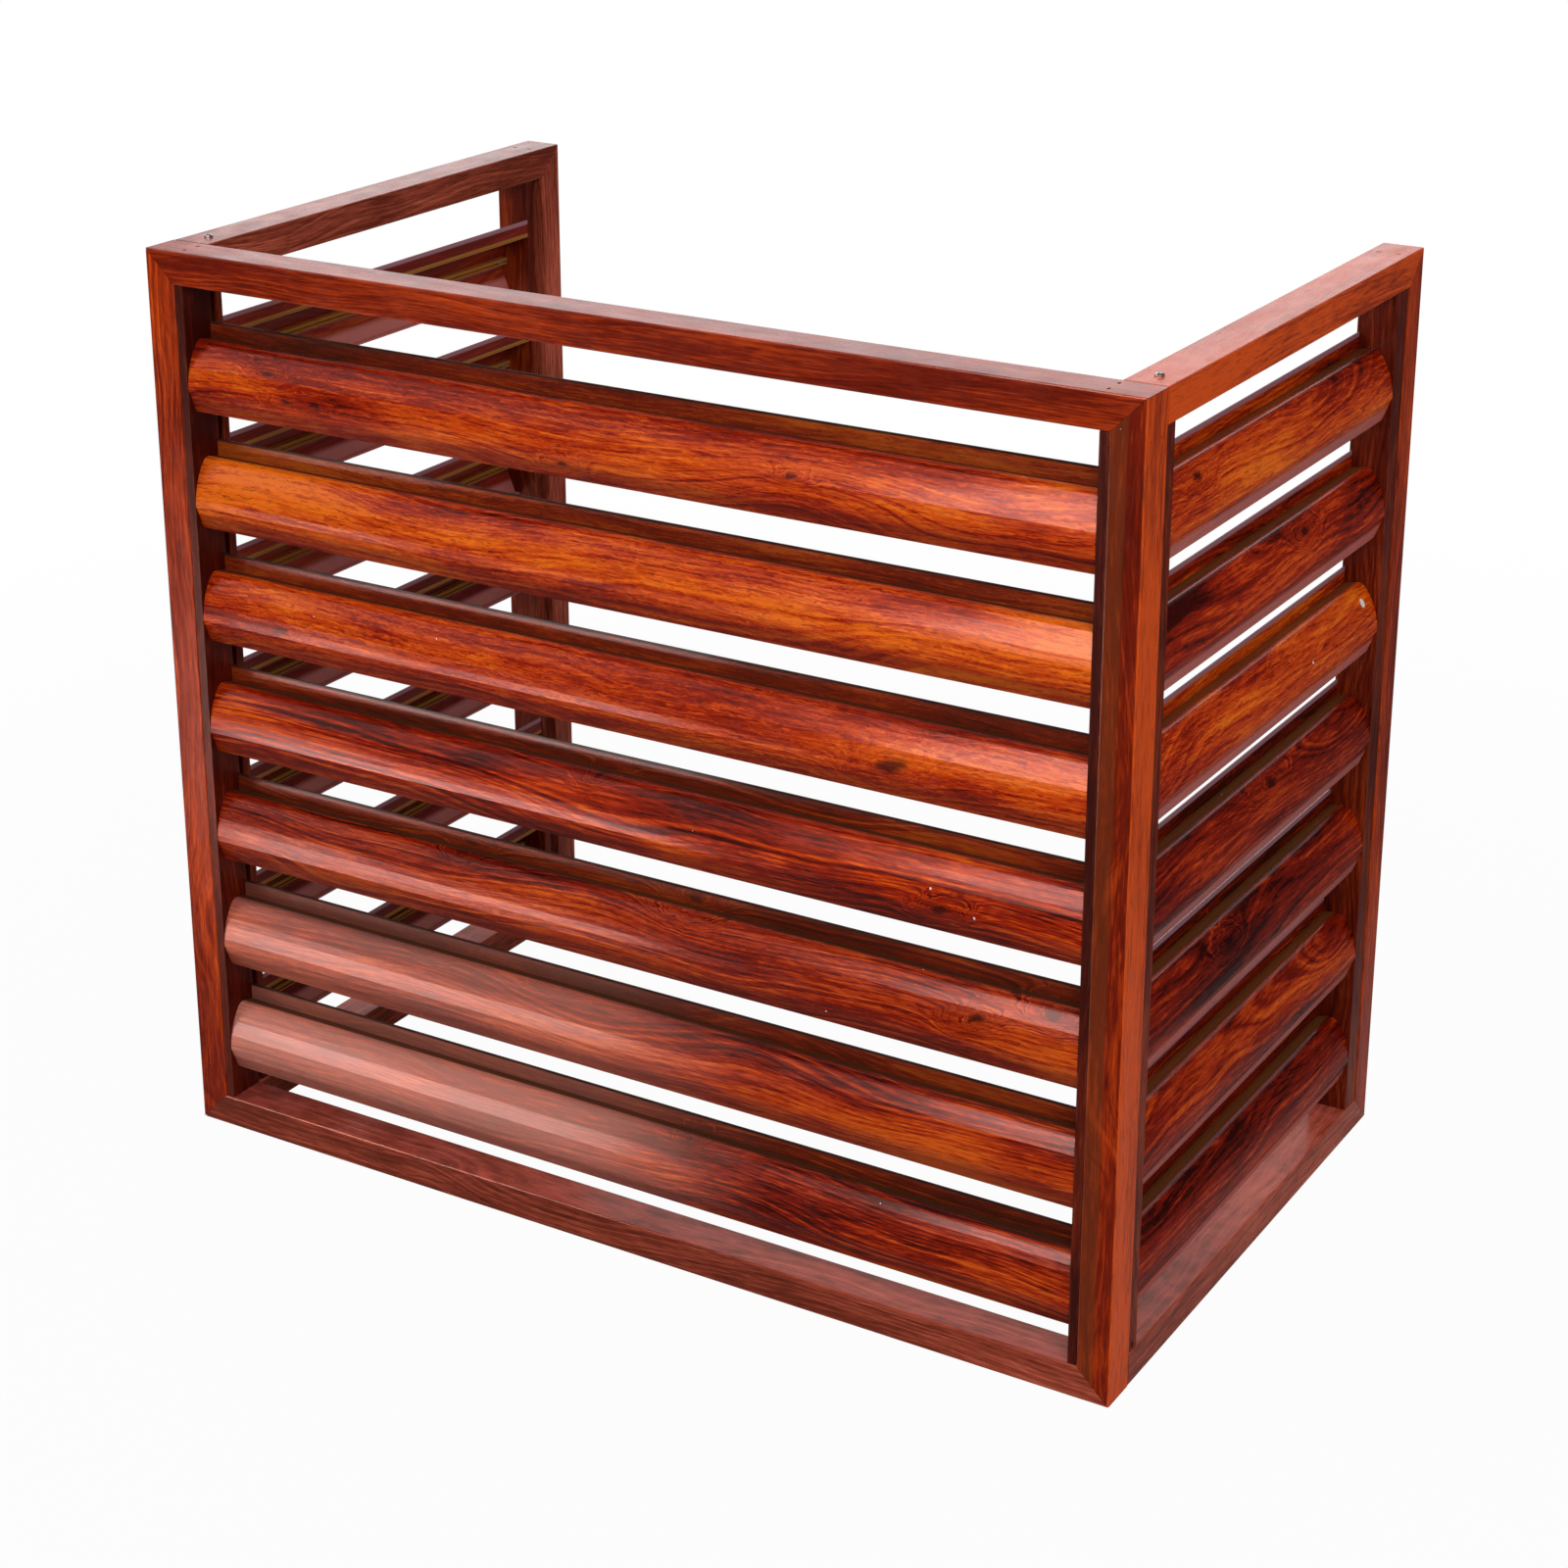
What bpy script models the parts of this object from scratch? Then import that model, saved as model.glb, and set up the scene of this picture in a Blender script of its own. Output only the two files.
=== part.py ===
"""Louvre screen that stands round the outdoor unit of an air conditioner.

A full-width front panel and two side panels make a U that is open at the back, the top and the
bottom. Each panel is a frame of mitred aluminium tube with slats between two upright holders.
Lengths are in metres. X runs along the front, Y from the front to the back and Z up. The origin
is on the ground, under the middle of the screen.
"""

import math

import bmesh
import bpy
from mathutils import Matrix, Vector

# Overall sizes
SCREEN_WIDTH = 0.900
SCREEN_DEPTH = 0.540
SCREEN_HEIGHT = 0.800
SEAT_GAP = 0.0003
CUT_OVERRUN = 0.001

# Frame tube: its face lies in the panel, its depth runs through the panel
TUBE_FACE = 0.028
TUBE_DEPTH = 0.036
TUBE_WALL = 0.0015
TUBE_EDGE_RADIUS = 0.0012
TUBE_EDGE_STEPS = 2

# Upright channels that the slats' ends are fixed to, measured from the tube's edge
FRONT_HOLDER_REACH = 0.008
SIDE_FRONT_HOLDER_REACH = 0.014
SIDE_REAR_HOLDER_REACH = 0.022
HOLDER_WALL = 0.0015
HOLDER_SETBACK = 0.001
HOLDER_LIP = 0.008
DRAIN_NOTCH_START = 0.0045
DRAIN_NOTCH_WIDTH = 0.0035
DRAIN_NOTCH_HEIGHT = 0.007

# Slats: how many in a panel, and the gaps over the first and under the last
SLAT_COUNT = 7
TOP_CLEARANCE = 0.0365
BOTTOM_CLEARANCE = 0.0285

# Slat section, from the top: upright lip, falling shelf, shoulder, bowed face, chin and foot
SLAT_SETBACK = 0.001
SLAT_DEPTH = 0.033
SLAT_HEIGHT = 0.0715
SLAT_WALL = 0.0013
SHELF_FALL = math.radians(12)
SHOULDER_RADIUS = 0.008
SHOULDER_STEPS = 5
FACE_RADIUS = 0.060
FACE_TURN = math.radians(37.5)
FACE_STEPS = 6
CHIN_HEIGHT = 0.020
CHIN_RUN = 0.008
FOOT_RUN = 0.007

# Screw ports on the inside of each slat: one on the bowed face, one under the shelf
PORT_RADIUS = 0.0036
PORT_BORE_RADIUS = 0.0021
PORT_SINK = 0.0006
PORT_MOUTH_HALF_ANGLE = math.radians(32)
PORT_STEPS = 4
FACE_PORT_SHARE = 0.25
SHELF_PORT_RUN = 0.0024

# Corner keys inside the mitres, and the pairs of dents that hold the tubes on them
KEY_LEG_LENGTH = 0.046
KEY_NOTCH_DEPTH = 0.0016
KEY_NOTCH_WIDTH = 0.0056
KEY_WEB = 0.003
DENT_FROM_CORNER = 0.034
DENT_SPACING = 0.0165
DENT_LENGTH = 0.0050
DENT_WIDTH = 0.0026
DENT_DEPTH = 0.0009
DENT_FLOOR_SHARE = 0.5
DENT_SIDES = 8

# Blocks in the front ends of the side rails
BLOCK_LENGTH = 0.040

# Lock screws go down into the blocks, and anchor screws through them into the front keys
LOCK_FROM_FRONT = 0.058
LOCK_LENGTH = 0.012
ANCHOR_FROM_SIDE = 0.026
ANCHOR_FROM_EDGE = 0.018
ANCHOR_REACH = 0.014
SCREW_RADIUS = 0.0021
SCREW_CLEARANCE = 0.0004
HEAD_RADIUS = 0.0037
HEAD_HEIGHT = 0.0024
HEAD_CROWN_SHARES = ((0, 1), (0.6, 0.9), (1, 0.5), (1, 0))
RECESS_LENGTH = 0.0042
RECESS_WIDTH = 0.0011
RECESS_DEPTH = 0.0011
ROUND_STEPS = 16

# Edges that turn by more than this stay sharp
TUBE_SHARP_ANGLE = math.radians(50)
SLAT_SHARP_ANGLE = math.radians(20)
SCREW_SHARP_ANGLE = math.radians(40)

# Sizes that follow
OPENING_HEIGHT = SCREEN_HEIGHT - 2 * TUBE_FACE
SIDE_LENGTH = SCREEN_DEPTH - TUBE_DEPTH - SEAT_GAP
SLAT_TRAVEL = OPENING_HEIGHT - TOP_CLEARANCE - BOTTOM_CLEARANCE - SLAT_HEIGHT
FILL_FACE = TUBE_FACE - 2 * TUBE_WALL - 2 * SEAT_GAP
FILL_DEPTH = TUBE_DEPTH - 2 * TUBE_WALL - 2 * SEAT_GAP
FILL_INSET = TUBE_WALL + SEAT_GAP
BORE_RADIUS = SCREW_RADIUS + SCREW_CLEARANCE
ANCHOR_HEAD_SPACE = HEAD_HEIGHT + 2 * SEAT_GAP
WELD_DISTANCE = SEAT_GAP / 100

ALONG = Vector((1, 0, 0))
INWARD = Vector((0, 1, 0))
UP = Vector((0, 0, 1))


# Scene, collections and finishes


def clear_scene():
    """Removes the objects that a new file starts with."""
    for old in list(bpy.data.objects):
        bpy.data.objects.remove(old, do_unlink=True)


def new_collection(name):
    """Adds a collection to the scene."""
    collection = bpy.data.collections.new(name)
    bpy.context.scene.collection.children.link(collection)
    return collection


def new_finish(name, colour, roughness, metallic):
    """A Principled material."""
    material = bpy.data.materials.new(name)
    material.use_nodes = True
    shader = material.node_tree.nodes["Principled BSDF"]
    shader.inputs["Base Color"].default_value = (*colour, 1)
    shader.inputs["Roughness"].default_value = roughness
    shader.inputs["Metallic"].default_value = metallic
    return material


clear_scene()
SCREEN = new_collection("air_conditioner_screen")
CUTTERS = new_collection("cutters")
CUTTERS.hide_render = True

FRAME_FINISH = new_finish("frame_rosewood_print", (0.24, 0.045, 0.016), 0.32, 0.0)
HOLDER_FINISH = new_finish("holder_rosewood_print", (0.17, 0.032, 0.013), 0.38, 0.0)
SLAT_FINISH = new_finish("slat_rosewood_print", (0.33, 0.065, 0.016), 0.24, 0.0)
KEY_FINISH = new_finish("key_cast_aluminium", (0.52, 0.53, 0.55), 0.45, 1.0)
SCREW_FINISH = new_finish("screw_plated_steel", (0.66, 0.67, 0.69), 0.28, 1.0)


class Panel:
    """A flat frame, standing on the ground.

    Its empty's X lies along the frame, its Y points into the screen and its Z up. A place on it
    is a distance along the frame, a depth behind its outer face and a height.
    """

    def __init__(self, name, corner, turn, heading):
        self.name = name
        self.run = ALONG * heading
        self.empty = bpy.data.objects.new(f"{name}_panel", None)
        self.empty.location = corner
        self.empty.rotation_euler.z = turn
        SCREEN.objects.link(self.empty)

    def place(self, distance, depth, height):
        """A place in the empty's own axes."""
        return self.run * distance + INWARD * depth + UP * height


def set_in(body, panel, origin, across, along):
    """Seats an object in a panel, with its X across and its Z along."""
    body.parent = panel.empty
    body.rotation_euler = Matrix((across, along.cross(across), along)).transposed().to_euler()
    body.location = origin


def add_part(name, mesh, finish, panel, origin, across, along):
    """Adds one piece of the screen."""
    if not mesh.materials:
        mesh.materials.append(finish)
    part = bpy.data.objects.new(name, mesh)
    SCREEN.objects.link(part)
    set_in(part, panel, origin, across, along)
    return part


def add_cutter(name, mesh, panel, origin, across, along):
    """Adds a hidden shape that Booleans take away."""
    cutter = bpy.data.objects.new(name, mesh)
    CUTTERS.objects.link(cutter)
    cutter.hide_render = True
    cutter.display_type = "WIRE"
    set_in(cutter, panel, origin, across, along)
    return cutter


def cut(part, cutter):
    """Takes the cutter's shape out of the part."""
    boolean = part.modifiers.new(cutter.name, "BOOLEAN")
    boolean.operation = "DIFFERENCE"
    boolean.solver = "EXACT"
    boolean.object = cutter


# Outlines and meshes


def rectangle(x_size, y_size, x_start, y_start):
    """Corners of a rectangle, from its lower left one."""
    x_end = x_start + x_size
    y_end = y_start + y_size
    return [(x_start, y_start), (x_end, y_start), (x_end, y_end), (x_start, y_end)]


def rounded_rectangle(x_size, y_size, radius, steps):
    """A rectangle from X 0 to x_size, centred on Y 0, with round corners."""
    x_near, x_far = radius, x_size - radius
    y_far = y_size / 2 - radius
    centres = ((x_far, y_far), (x_near, y_far), (x_near, -y_far), (x_far, -y_far))
    points = []
    for quarter, (x, y) in enumerate(centres):
        for step in range(steps + 1):
            angle = math.pi / 2 * (quarter + step / steps)
            points.append((x + radius * math.cos(angle), y + radius * math.sin(angle)))
    return points


def circle(x, y, radius):
    """Points round a circle."""
    turns = [2 * math.pi * (step + 0.5) / ROUND_STEPS for step in range(ROUND_STEPS)]
    return [(x + radius * math.cos(turn), y + radius * math.sin(turn)) for turn in turns]


def evaluated_mesh(name, guide):
    """The mesh that a guide object makes, with its seams welded. The guide goes."""
    graph = bpy.context.evaluated_depsgraph_get()
    mesh = bpy.data.meshes.new_from_object(guide.evaluated_get(graph))
    mesh.name = name
    bpy.data.objects.remove(guide, do_unlink=True)
    body = bmesh.new()
    body.from_mesh(mesh)
    bmesh.ops.remove_doubles(body, verts=body.verts, dist=WELD_DISTANCE)
    bmesh.ops.recalc_face_normals(body, faces=body.faces)
    body.to_mesh(mesh)
    body.free()
    return mesh


def extruded(name, outlines, length):
    """A solid of closed outlines in X and Y, half of its length to each side of them.

    The outlines after the first one are its holes.
    """
    curve = bpy.data.curves.new(name, "CURVE")
    curve.dimensions = "2D"
    curve.fill_mode = "BOTH"
    curve.extrude = length / 2
    for outline in outlines:
        spline = curve.splines.new("POLY")
        spline.points.add(len(outline) - 1)
        for point, (x, y) in zip(spline.points, outline):
            point.co = (x, y, 0, 1)
        spline.use_cyclic_u = True
    guide = bpy.data.objects.new(name, curve)
    CUTTERS.objects.link(guide)
    return evaluated_mesh(name, guide)


def turned(name, profile):
    """A solid turned about Z from a profile of radii and heights, from its top to its bottom."""
    line = bpy.data.meshes.new(name)
    edges = [(index, index + 1) for index in range(len(profile) - 1)]
    line.from_pydata([(radius, 0, height) for radius, height in profile], edges, [])
    guide = bpy.data.objects.new(name, line)
    CUTTERS.objects.link(guide)
    screw = guide.modifiers.new("turn", "SCREW")
    screw.steps = ROUND_STEPS
    screw.render_steps = ROUND_STEPS
    screw.use_merge_vertices = True
    screw.merge_threshold = WELD_DISTANCE
    return evaluated_mesh(name, guide)


def box(name, x_size, y_size, z_size):
    """A box about its own middle."""
    body = bmesh.new()
    bmesh.ops.create_cube(body, size=1)
    bmesh.ops.scale(body, vec=(x_size, y_size, z_size), verts=body.verts)
    mesh = bpy.data.meshes.new(name)
    body.to_mesh(mesh)
    body.free()
    return mesh


def shade_round(mesh, sharp_angle):
    """Shades a mesh smooth, but keeps its edges over an angle sharp."""
    mesh.shade_smooth()
    mesh.set_sharp_from_angle(angle=sharp_angle)


# Frame tubes


def tube_mesh(name, length, mitre_start, mitre_end):
    """A rectangular tube along Z, its outer edge at X 0, with its ends square or mitred."""
    shell = rounded_rectangle(TUBE_FACE, TUBE_DEPTH, TUBE_EDGE_RADIUS, TUBE_EDGE_STEPS)
    hollow_face = TUBE_FACE - 2 * TUBE_WALL
    hollow_depth = TUBE_DEPTH - 2 * TUBE_WALL
    hollow = rectangle(hollow_face, hollow_depth, TUBE_WALL, -hollow_depth / 2)
    mesh = extruded(name, [shell, hollow], length)
    mitre_gap = SEAT_GAP / math.sqrt(2)
    for vertex in mesh.vertices:
        at_end = vertex.co.z > 0
        vertex.co.z += length / 2
        if at_end and mitre_end:
            vertex.co.z -= vertex.co.x + mitre_gap
        if not at_end and mitre_start:
            vertex.co.z += vertex.co.x + mitre_gap
    shade_round(mesh, TUBE_SHARP_ANGLE)
    return mesh


def dents_mesh(name):
    """Cutter for a pair of punched dents in the plane Z 0, side by side along X."""
    body = bmesh.new()
    for side in (-DENT_SPACING / 2, DENT_SPACING / 2):
        dent = bmesh.ops.create_cone(
            body,
            cap_ends=True,
            segments=DENT_SIDES,
            radius1=DENT_LENGTH / 2 * (2 - DENT_FLOOR_SHARE),
            radius2=DENT_LENGTH / 2 * DENT_FLOOR_SHARE,
            depth=2 * DENT_DEPTH,
        )["verts"]
        bmesh.ops.scale(body, vec=(1, DENT_WIDTH / DENT_LENGTH, 1), verts=dent)
        bmesh.ops.translate(body, vec=(side, 0, 0), verts=dent)
    mesh = bpy.data.meshes.new(name)
    body.to_mesh(mesh)
    body.free()
    return mesh


def add_tube(name, panel, origin, across, along, length, mitred_ends):
    """A frame tube from origin, which lies on the frame's outer edge, with its dents.

    mitred_ends says whether its start and its end are mitred.
    """
    mesh = tube_mesh(name, length, *mitred_ends)
    tube = add_part(name, mesh, FRAME_FINISH, panel, origin, across, along)
    for mitred, distance in zip(mitred_ends, (DENT_FROM_CORNER, length - DENT_FROM_CORNER)):
        if mitred:
            mesh = dents_mesh(f"{name}_dents")
            place = origin + along * distance
            cut(tube, add_cutter(mesh.name, mesh, panel, place, INWARD, across))
    return tube


# Corner keys


def key_mesh():
    """An L-shaped key with its outer corner at the origin and its legs along X and Y."""
    notch_middle = DENT_FROM_CORNER - FILL_INSET
    slope = KEY_NOTCH_DEPTH / 2
    near = notch_middle - KEY_NOTCH_WIDTH / 2
    far = notch_middle + KEY_NOTCH_WIDTH / 2
    leg = [(near, 0), (near + slope, KEY_NOTCH_DEPTH), (far - slope, KEY_NOTCH_DEPTH), (far, 0)]
    leg += [(KEY_LEG_LENGTH, 0), (KEY_LEG_LENGTH, FILL_FACE)]
    outline = [(0, 0), *leg, (FILL_FACE, FILL_FACE), *[(y, x) for x, y in reversed(leg)]]
    hole_x = ANCHOR_FROM_SIDE - FILL_INSET
    hole = circle(hole_x, ANCHOR_FROM_EDGE - FILL_INSET, BORE_RADIUS)
    pocket_start = hole_x + BORE_RADIUS + KEY_WEB
    pocket_foot = KEY_NOTCH_DEPTH + KEY_WEB
    pocket = rectangle(
        KEY_LEG_LENGTH - KEY_WEB - pocket_start,
        FILL_FACE - KEY_WEB - pocket_foot,
        pocket_start,
        pocket_foot,
    )
    twin = [(y, x) for x, y in pocket]
    return extruded("corner_key", [outline, pocket, twin, hole], FILL_DEPTH)


def add_key(name, mesh, panel, corner, across, upright):
    """A corner key in the mitre at a corner of the frame, its legs across and upright."""
    origin = corner + (across + upright) * FILL_INSET + INWARD * (TUBE_DEPTH / 2)
    add_part(name, mesh, KEY_FINISH, panel, origin, across, across.cross(upright))


# Slat holders


def holder_mesh(name, width, lip):
    """An upright channel from its open side at X 0 to its web at X width.

    Its outer flange is at lower Y. Of its inner one there is only a lip beside the web.
    """
    half = TUBE_DEPTH / 2 - HOLDER_SETBACK
    inside = half - HOLDER_WALL
    web = width - HOLDER_WALL
    outer_side = [(0, -inside), (0, -half), (width, -half)]
    inner_side = [(width, half), (width - lip, half), (width - lip, inside)]
    outline = outer_side + inner_side + [(web, inside), (web, -inside)]
    return extruded(name, [outline], OPENING_HEIGHT - 2 * SEAT_GAP)


def add_holder(name, panel, distance, across, width, lip):
    """A holder whose open side is at a distance along the panel."""
    origin = panel.place(distance, TUBE_DEPTH / 2, SCREEN_HEIGHT / 2)
    mesh = holder_mesh(name, width, lip)
    return add_part(name, mesh, HOLDER_FINISH, panel, origin, across, across.cross(INWARD))


def cut_drain_notch(holder, panel, distance, across):
    """Cuts the notch at the foot of a holder's outer flange."""
    name = f"{holder.name}_notch"
    depth_through = HOLDER_WALL + 2 * CUT_OVERRUN
    mesh = box(name, DRAIN_NOTCH_WIDTH, depth_through, 2 * DRAIN_NOTCH_HEIGHT)
    foot = panel.place(distance, HOLDER_SETBACK + HOLDER_WALL / 2, TUBE_FACE + SEAT_GAP)
    middle = foot + across * (DRAIN_NOTCH_START + DRAIN_NOTCH_WIDTH / 2)
    cut(holder, add_cutter(name, mesh, panel, middle, ALONG, UP))


# Slats


def offset_path(path, distance):
    """The open path moved to its left by distance, with mitred corners."""
    normals = []
    for start, end in zip(path, path[1:]):
        run = (end - start).normalized()
        normals.append(Vector((-run.y, run.x)))
    moved = [path[0] + normals[0] * distance]
    for point, before, after in zip(path[1:-1], normals, normals[1:]):
        mitre = (before + after).normalized()
        moved.append(point + mitre * (distance / mitre.dot(after)))
    return [*moved, path[-1] + normals[-1] * distance]


def bearing(angle):
    """The unit vector at an angle from X."""
    return Vector((math.cos(angle), math.sin(angle)))


def arc_points(centre, radius, first, last, steps):
    """Points on an arc from the first angle to the last, both included."""
    spread = [first + (last - first) * step / steps for step in range(steps + 1)]
    return [centre + bearing(angle) * radius for angle in spread]


def port_points(centre, wallward):
    """A screw port with a mouth, from its lower foot on the slat's wall to its upper one.

    wallward is the angle at which the wall lies from the port's centre.
    """
    foot = math.acos((PORT_RADIUS - PORT_SINK) / PORT_RADIUS)
    mouth = math.pi - PORT_MOUTH_HALF_ANGLE
    lower_mouth, upper_mouth = wallward + mouth, wallward - mouth
    return [
        *arc_points(centre, PORT_RADIUS, wallward + foot, lower_mouth, PORT_STEPS),
        *arc_points(centre, PORT_BORE_RADIUS, lower_mouth, upper_mouth, 2 * PORT_STEPS),
        *arc_points(centre, PORT_RADIUS, upper_mouth, wallward - foot, PORT_STEPS),
    ]


def with_port(wall, seat, wallward):
    """A stretch of the wall's inside, from its lower end on, with a port standing on its seat."""
    onward = bearing(wallward - math.pi / 2)
    port = port_points(seat - bearing(wallward) * (PORT_RADIUS - PORT_SINK), wallward)
    before = [point for point in wall if (port[0] - point).dot(onward) > PORT_SINK]
    after = [point for point in wall if (point - port[-1]).dot(onward) > PORT_SINK]
    return [*before, *port, *after]


def slat_outline():
    """The closed outline of a slat: X is the depth behind the panel's face, Y the height."""
    knee = Vector((SLAT_SETBACK, CHIN_HEIGHT))
    chin = Vector((knee.x + CHIN_RUN, 0))
    face_centre = knee + Vector((FACE_RADIUS, 0))
    face_top = math.pi - FACE_TURN
    face = arc_points(face_centre, FACE_RADIUS, face_top, math.pi, FACE_STEPS)
    shelfward = math.pi / 2 - SHELF_FALL
    shoulder_centre = face_centre + bearing(face_top) * (FACE_RADIUS - SHOULDER_RADIUS)
    shoulder = arc_points(shoulder_centre, SHOULDER_RADIUS, shelfward, face_top, SHOULDER_STEPS)
    lip_depth = SLAT_SETBACK + SLAT_DEPTH - SLAT_WALL
    shelf_drop = (lip_depth - shoulder[0].x) * math.tan(SHELF_FALL)
    crease = Vector((lip_depth, shoulder[0].y - shelf_drop))
    crown = [Vector((lip_depth, SLAT_HEIGHT)), crease, *shoulder]
    front = [*face, chin, chin + Vector((FOOT_RUN, 0))]

    face_port_angle = math.pi - FACE_TURN * FACE_PORT_SHARE
    face_seat = face_centre + bearing(face_port_angle) * (FACE_RADIUS - SLAT_WALL)
    front_inside = with_port(offset_path(front, SLAT_WALL)[::-1], face_seat, face_port_angle)
    shelf_seat = shoulder[0] + bearing(-SHELF_FALL) * SHELF_PORT_RUN - bearing(shelfward) * SLAT_WALL
    crown_inside = with_port(offset_path(crown, SLAT_WALL)[::-1], shelf_seat, shelfward)
    return [*crown, *front[1:], *front_inside[:-1], *crown_inside]


def add_slats(panel, mesh, middle):
    """A panel's slats, from the top one down, about the middle of its opening."""
    top = SCREEN_HEIGHT - TUBE_FACE - TOP_CLEARANCE - SLAT_HEIGHT
    for index in range(SLAT_COUNT):
        drop = SLAT_TRAVEL * index / (SLAT_COUNT - 1)
        name = f"{panel.name}_slat_{index + 1}"
        origin = panel.place(middle, 0, top - drop)
        add_part(name, mesh, SLAT_FINISH, panel, origin, INWARD, ALONG)


def slat_mesh(name, opening):
    """The slat for an opening of this width."""
    mesh = extruded(name, [slat_outline()], opening - 2 * SEAT_GAP)
    shade_round(mesh, SLAT_SHARP_ANGLE)
    return mesh


# Screws and the blocks they hold


def screw_mesh(name, length):
    """A pan-head screw with a cross recess, its head standing on Z 0."""
    head = [(HEAD_RADIUS * out, HEAD_HEIGHT * rise) for out, rise in HEAD_CROWN_SHARES]
    shank = [(SCREW_RADIUS, 0), (SCREW_RADIUS, SCREW_RADIUS - length), (0, -length)]
    guide = bpy.data.objects.new(name, turned(name, head + shank))
    CUTTERS.objects.link(guide)
    arm, half = RECESS_LENGTH / 2, RECESS_WIDTH / 2
    corner = [(arm, -half), (arm, half), (half, half)]
    cross = []
    for quarter in range(4):
        turn = Matrix.Rotation(math.pi / 2 * quarter, 2)
        cross += [turn @ Vector(point) for point in corner]
    recess = bpy.data.objects.new("recess", extruded("recess", [cross], 2 * RECESS_DEPTH))
    recess.location.z = HEAD_HEIGHT
    CUTTERS.objects.link(recess)
    cut(guide, recess)
    mesh = evaluated_mesh(name, guide)
    bpy.data.objects.remove(recess, do_unlink=True)
    shade_round(mesh, SCREW_SHARP_ANGLE)
    return mesh


def bore_mesh(name, head_space, length):
    """Cutter for a screw's bore, with a wider part for its head over Z 0."""
    wide = HEAD_RADIUS + SCREW_CLEARANCE
    profile = [(0, head_space), (wide, head_space), (wide, 0)]
    profile += [(BORE_RADIUS, 0), (BORE_RADIUS, -length), (0, -length)]
    return turned(name, profile)


def add_block(name, panel, height):
    """The block that fills the front end of a side rail."""
    mesh = box(name, BLOCK_LENGTH, FILL_DEPTH, FILL_FACE)
    origin = panel.place(SIDE_LENGTH - BLOCK_LENGTH / 2, TUBE_DEPTH / 2, height)
    return add_part(name, mesh, KEY_FINISH, panel, origin, ALONG, UP)


def add_lock_screw(name, panel, mesh, wall_height, rail, block):
    """The screw that goes down through a side rail's upper wall into its block."""
    distance = SCREEN_DEPTH - LOCK_FROM_FRONT
    seat = panel.place(distance, TUBE_DEPTH / 2, wall_height)
    bore = bore_mesh(f"{name}_bore", HEAD_HEIGHT, LOCK_LENGTH + SCREW_CLEARANCE)
    cutter = add_cutter(bore.name, bore, panel, seat, ALONG, UP)
    cut(rail, cutter)
    cut(block, cutter)
    add_part(name, mesh, SCREW_FINISH, panel, seat + UP * SEAT_GAP, ALONG, UP)


def add_anchor_screw(name, panel, mesh, height, block, front_rail):
    """The long screw that goes through a block and the front rail's back wall into its key."""
    seat = panel.place(SIDE_LENGTH - BLOCK_LENGTH + ANCHOR_HEAD_SPACE, ANCHOR_FROM_SIDE, height)
    reach = BLOCK_LENGTH - ANCHOR_HEAD_SPACE + SEAT_GAP + TUBE_WALL + CUT_OVERRUN
    bore = bore_mesh(f"{name}_bore", ANCHOR_HEAD_SPACE + CUT_OVERRUN, reach)
    cutter = add_cutter(bore.name, bore, panel, seat, INWARD, -panel.run)
    cut(block, cutter)
    cut(front_rail, cutter)
    place = seat - panel.run * SEAT_GAP
    add_part(name, mesh, SCREW_FINISH, panel, place, INWARD, -panel.run)


# Panels


def build_front(panel, key):
    """The front panel. It returns its bottom and top rails."""
    left_foot = panel.place(0, TUBE_DEPTH / 2, 0)
    right_foot = panel.place(SCREEN_WIDTH, TUBE_DEPTH / 2, 0)
    left_head = panel.place(0, TUBE_DEPTH / 2, SCREEN_HEIGHT)
    both = (True, True)
    rails = (
        add_tube("front_bottom_rail", panel, left_foot, UP, ALONG, SCREEN_WIDTH, both),
        add_tube("front_top_rail", panel, left_head, -UP, ALONG, SCREEN_WIDTH, both),
    )
    add_tube("front_left_stile", panel, left_foot, ALONG, UP, SCREEN_HEIGHT, both)
    add_tube("front_right_stile", panel, right_foot, -ALONG, UP, SCREEN_HEIGHT, both)
    for side, distance, across in (("left", 0, ALONG), ("right", SCREEN_WIDTH, -ALONG)):
        for level, height, upright in (("bottom", 0, UP), ("top", SCREEN_HEIGHT, -UP)):
            corner = panel.place(distance, 0, height)
            add_key(f"front_{level}_{side}_key", key, panel, corner, across, upright)
        width = FRONT_HOLDER_REACH - SEAT_GAP
        open_side = distance + across.x * (TUBE_FACE + SEAT_GAP)
        add_holder(f"front_{side}_holder", panel, open_side, across, width, width)
    opening = SCREEN_WIDTH - 2 * (TUBE_FACE + FRONT_HOLDER_REACH)
    add_slats(panel, slat_mesh("front_slat", opening), SCREEN_WIDTH / 2)
    return rails


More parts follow.
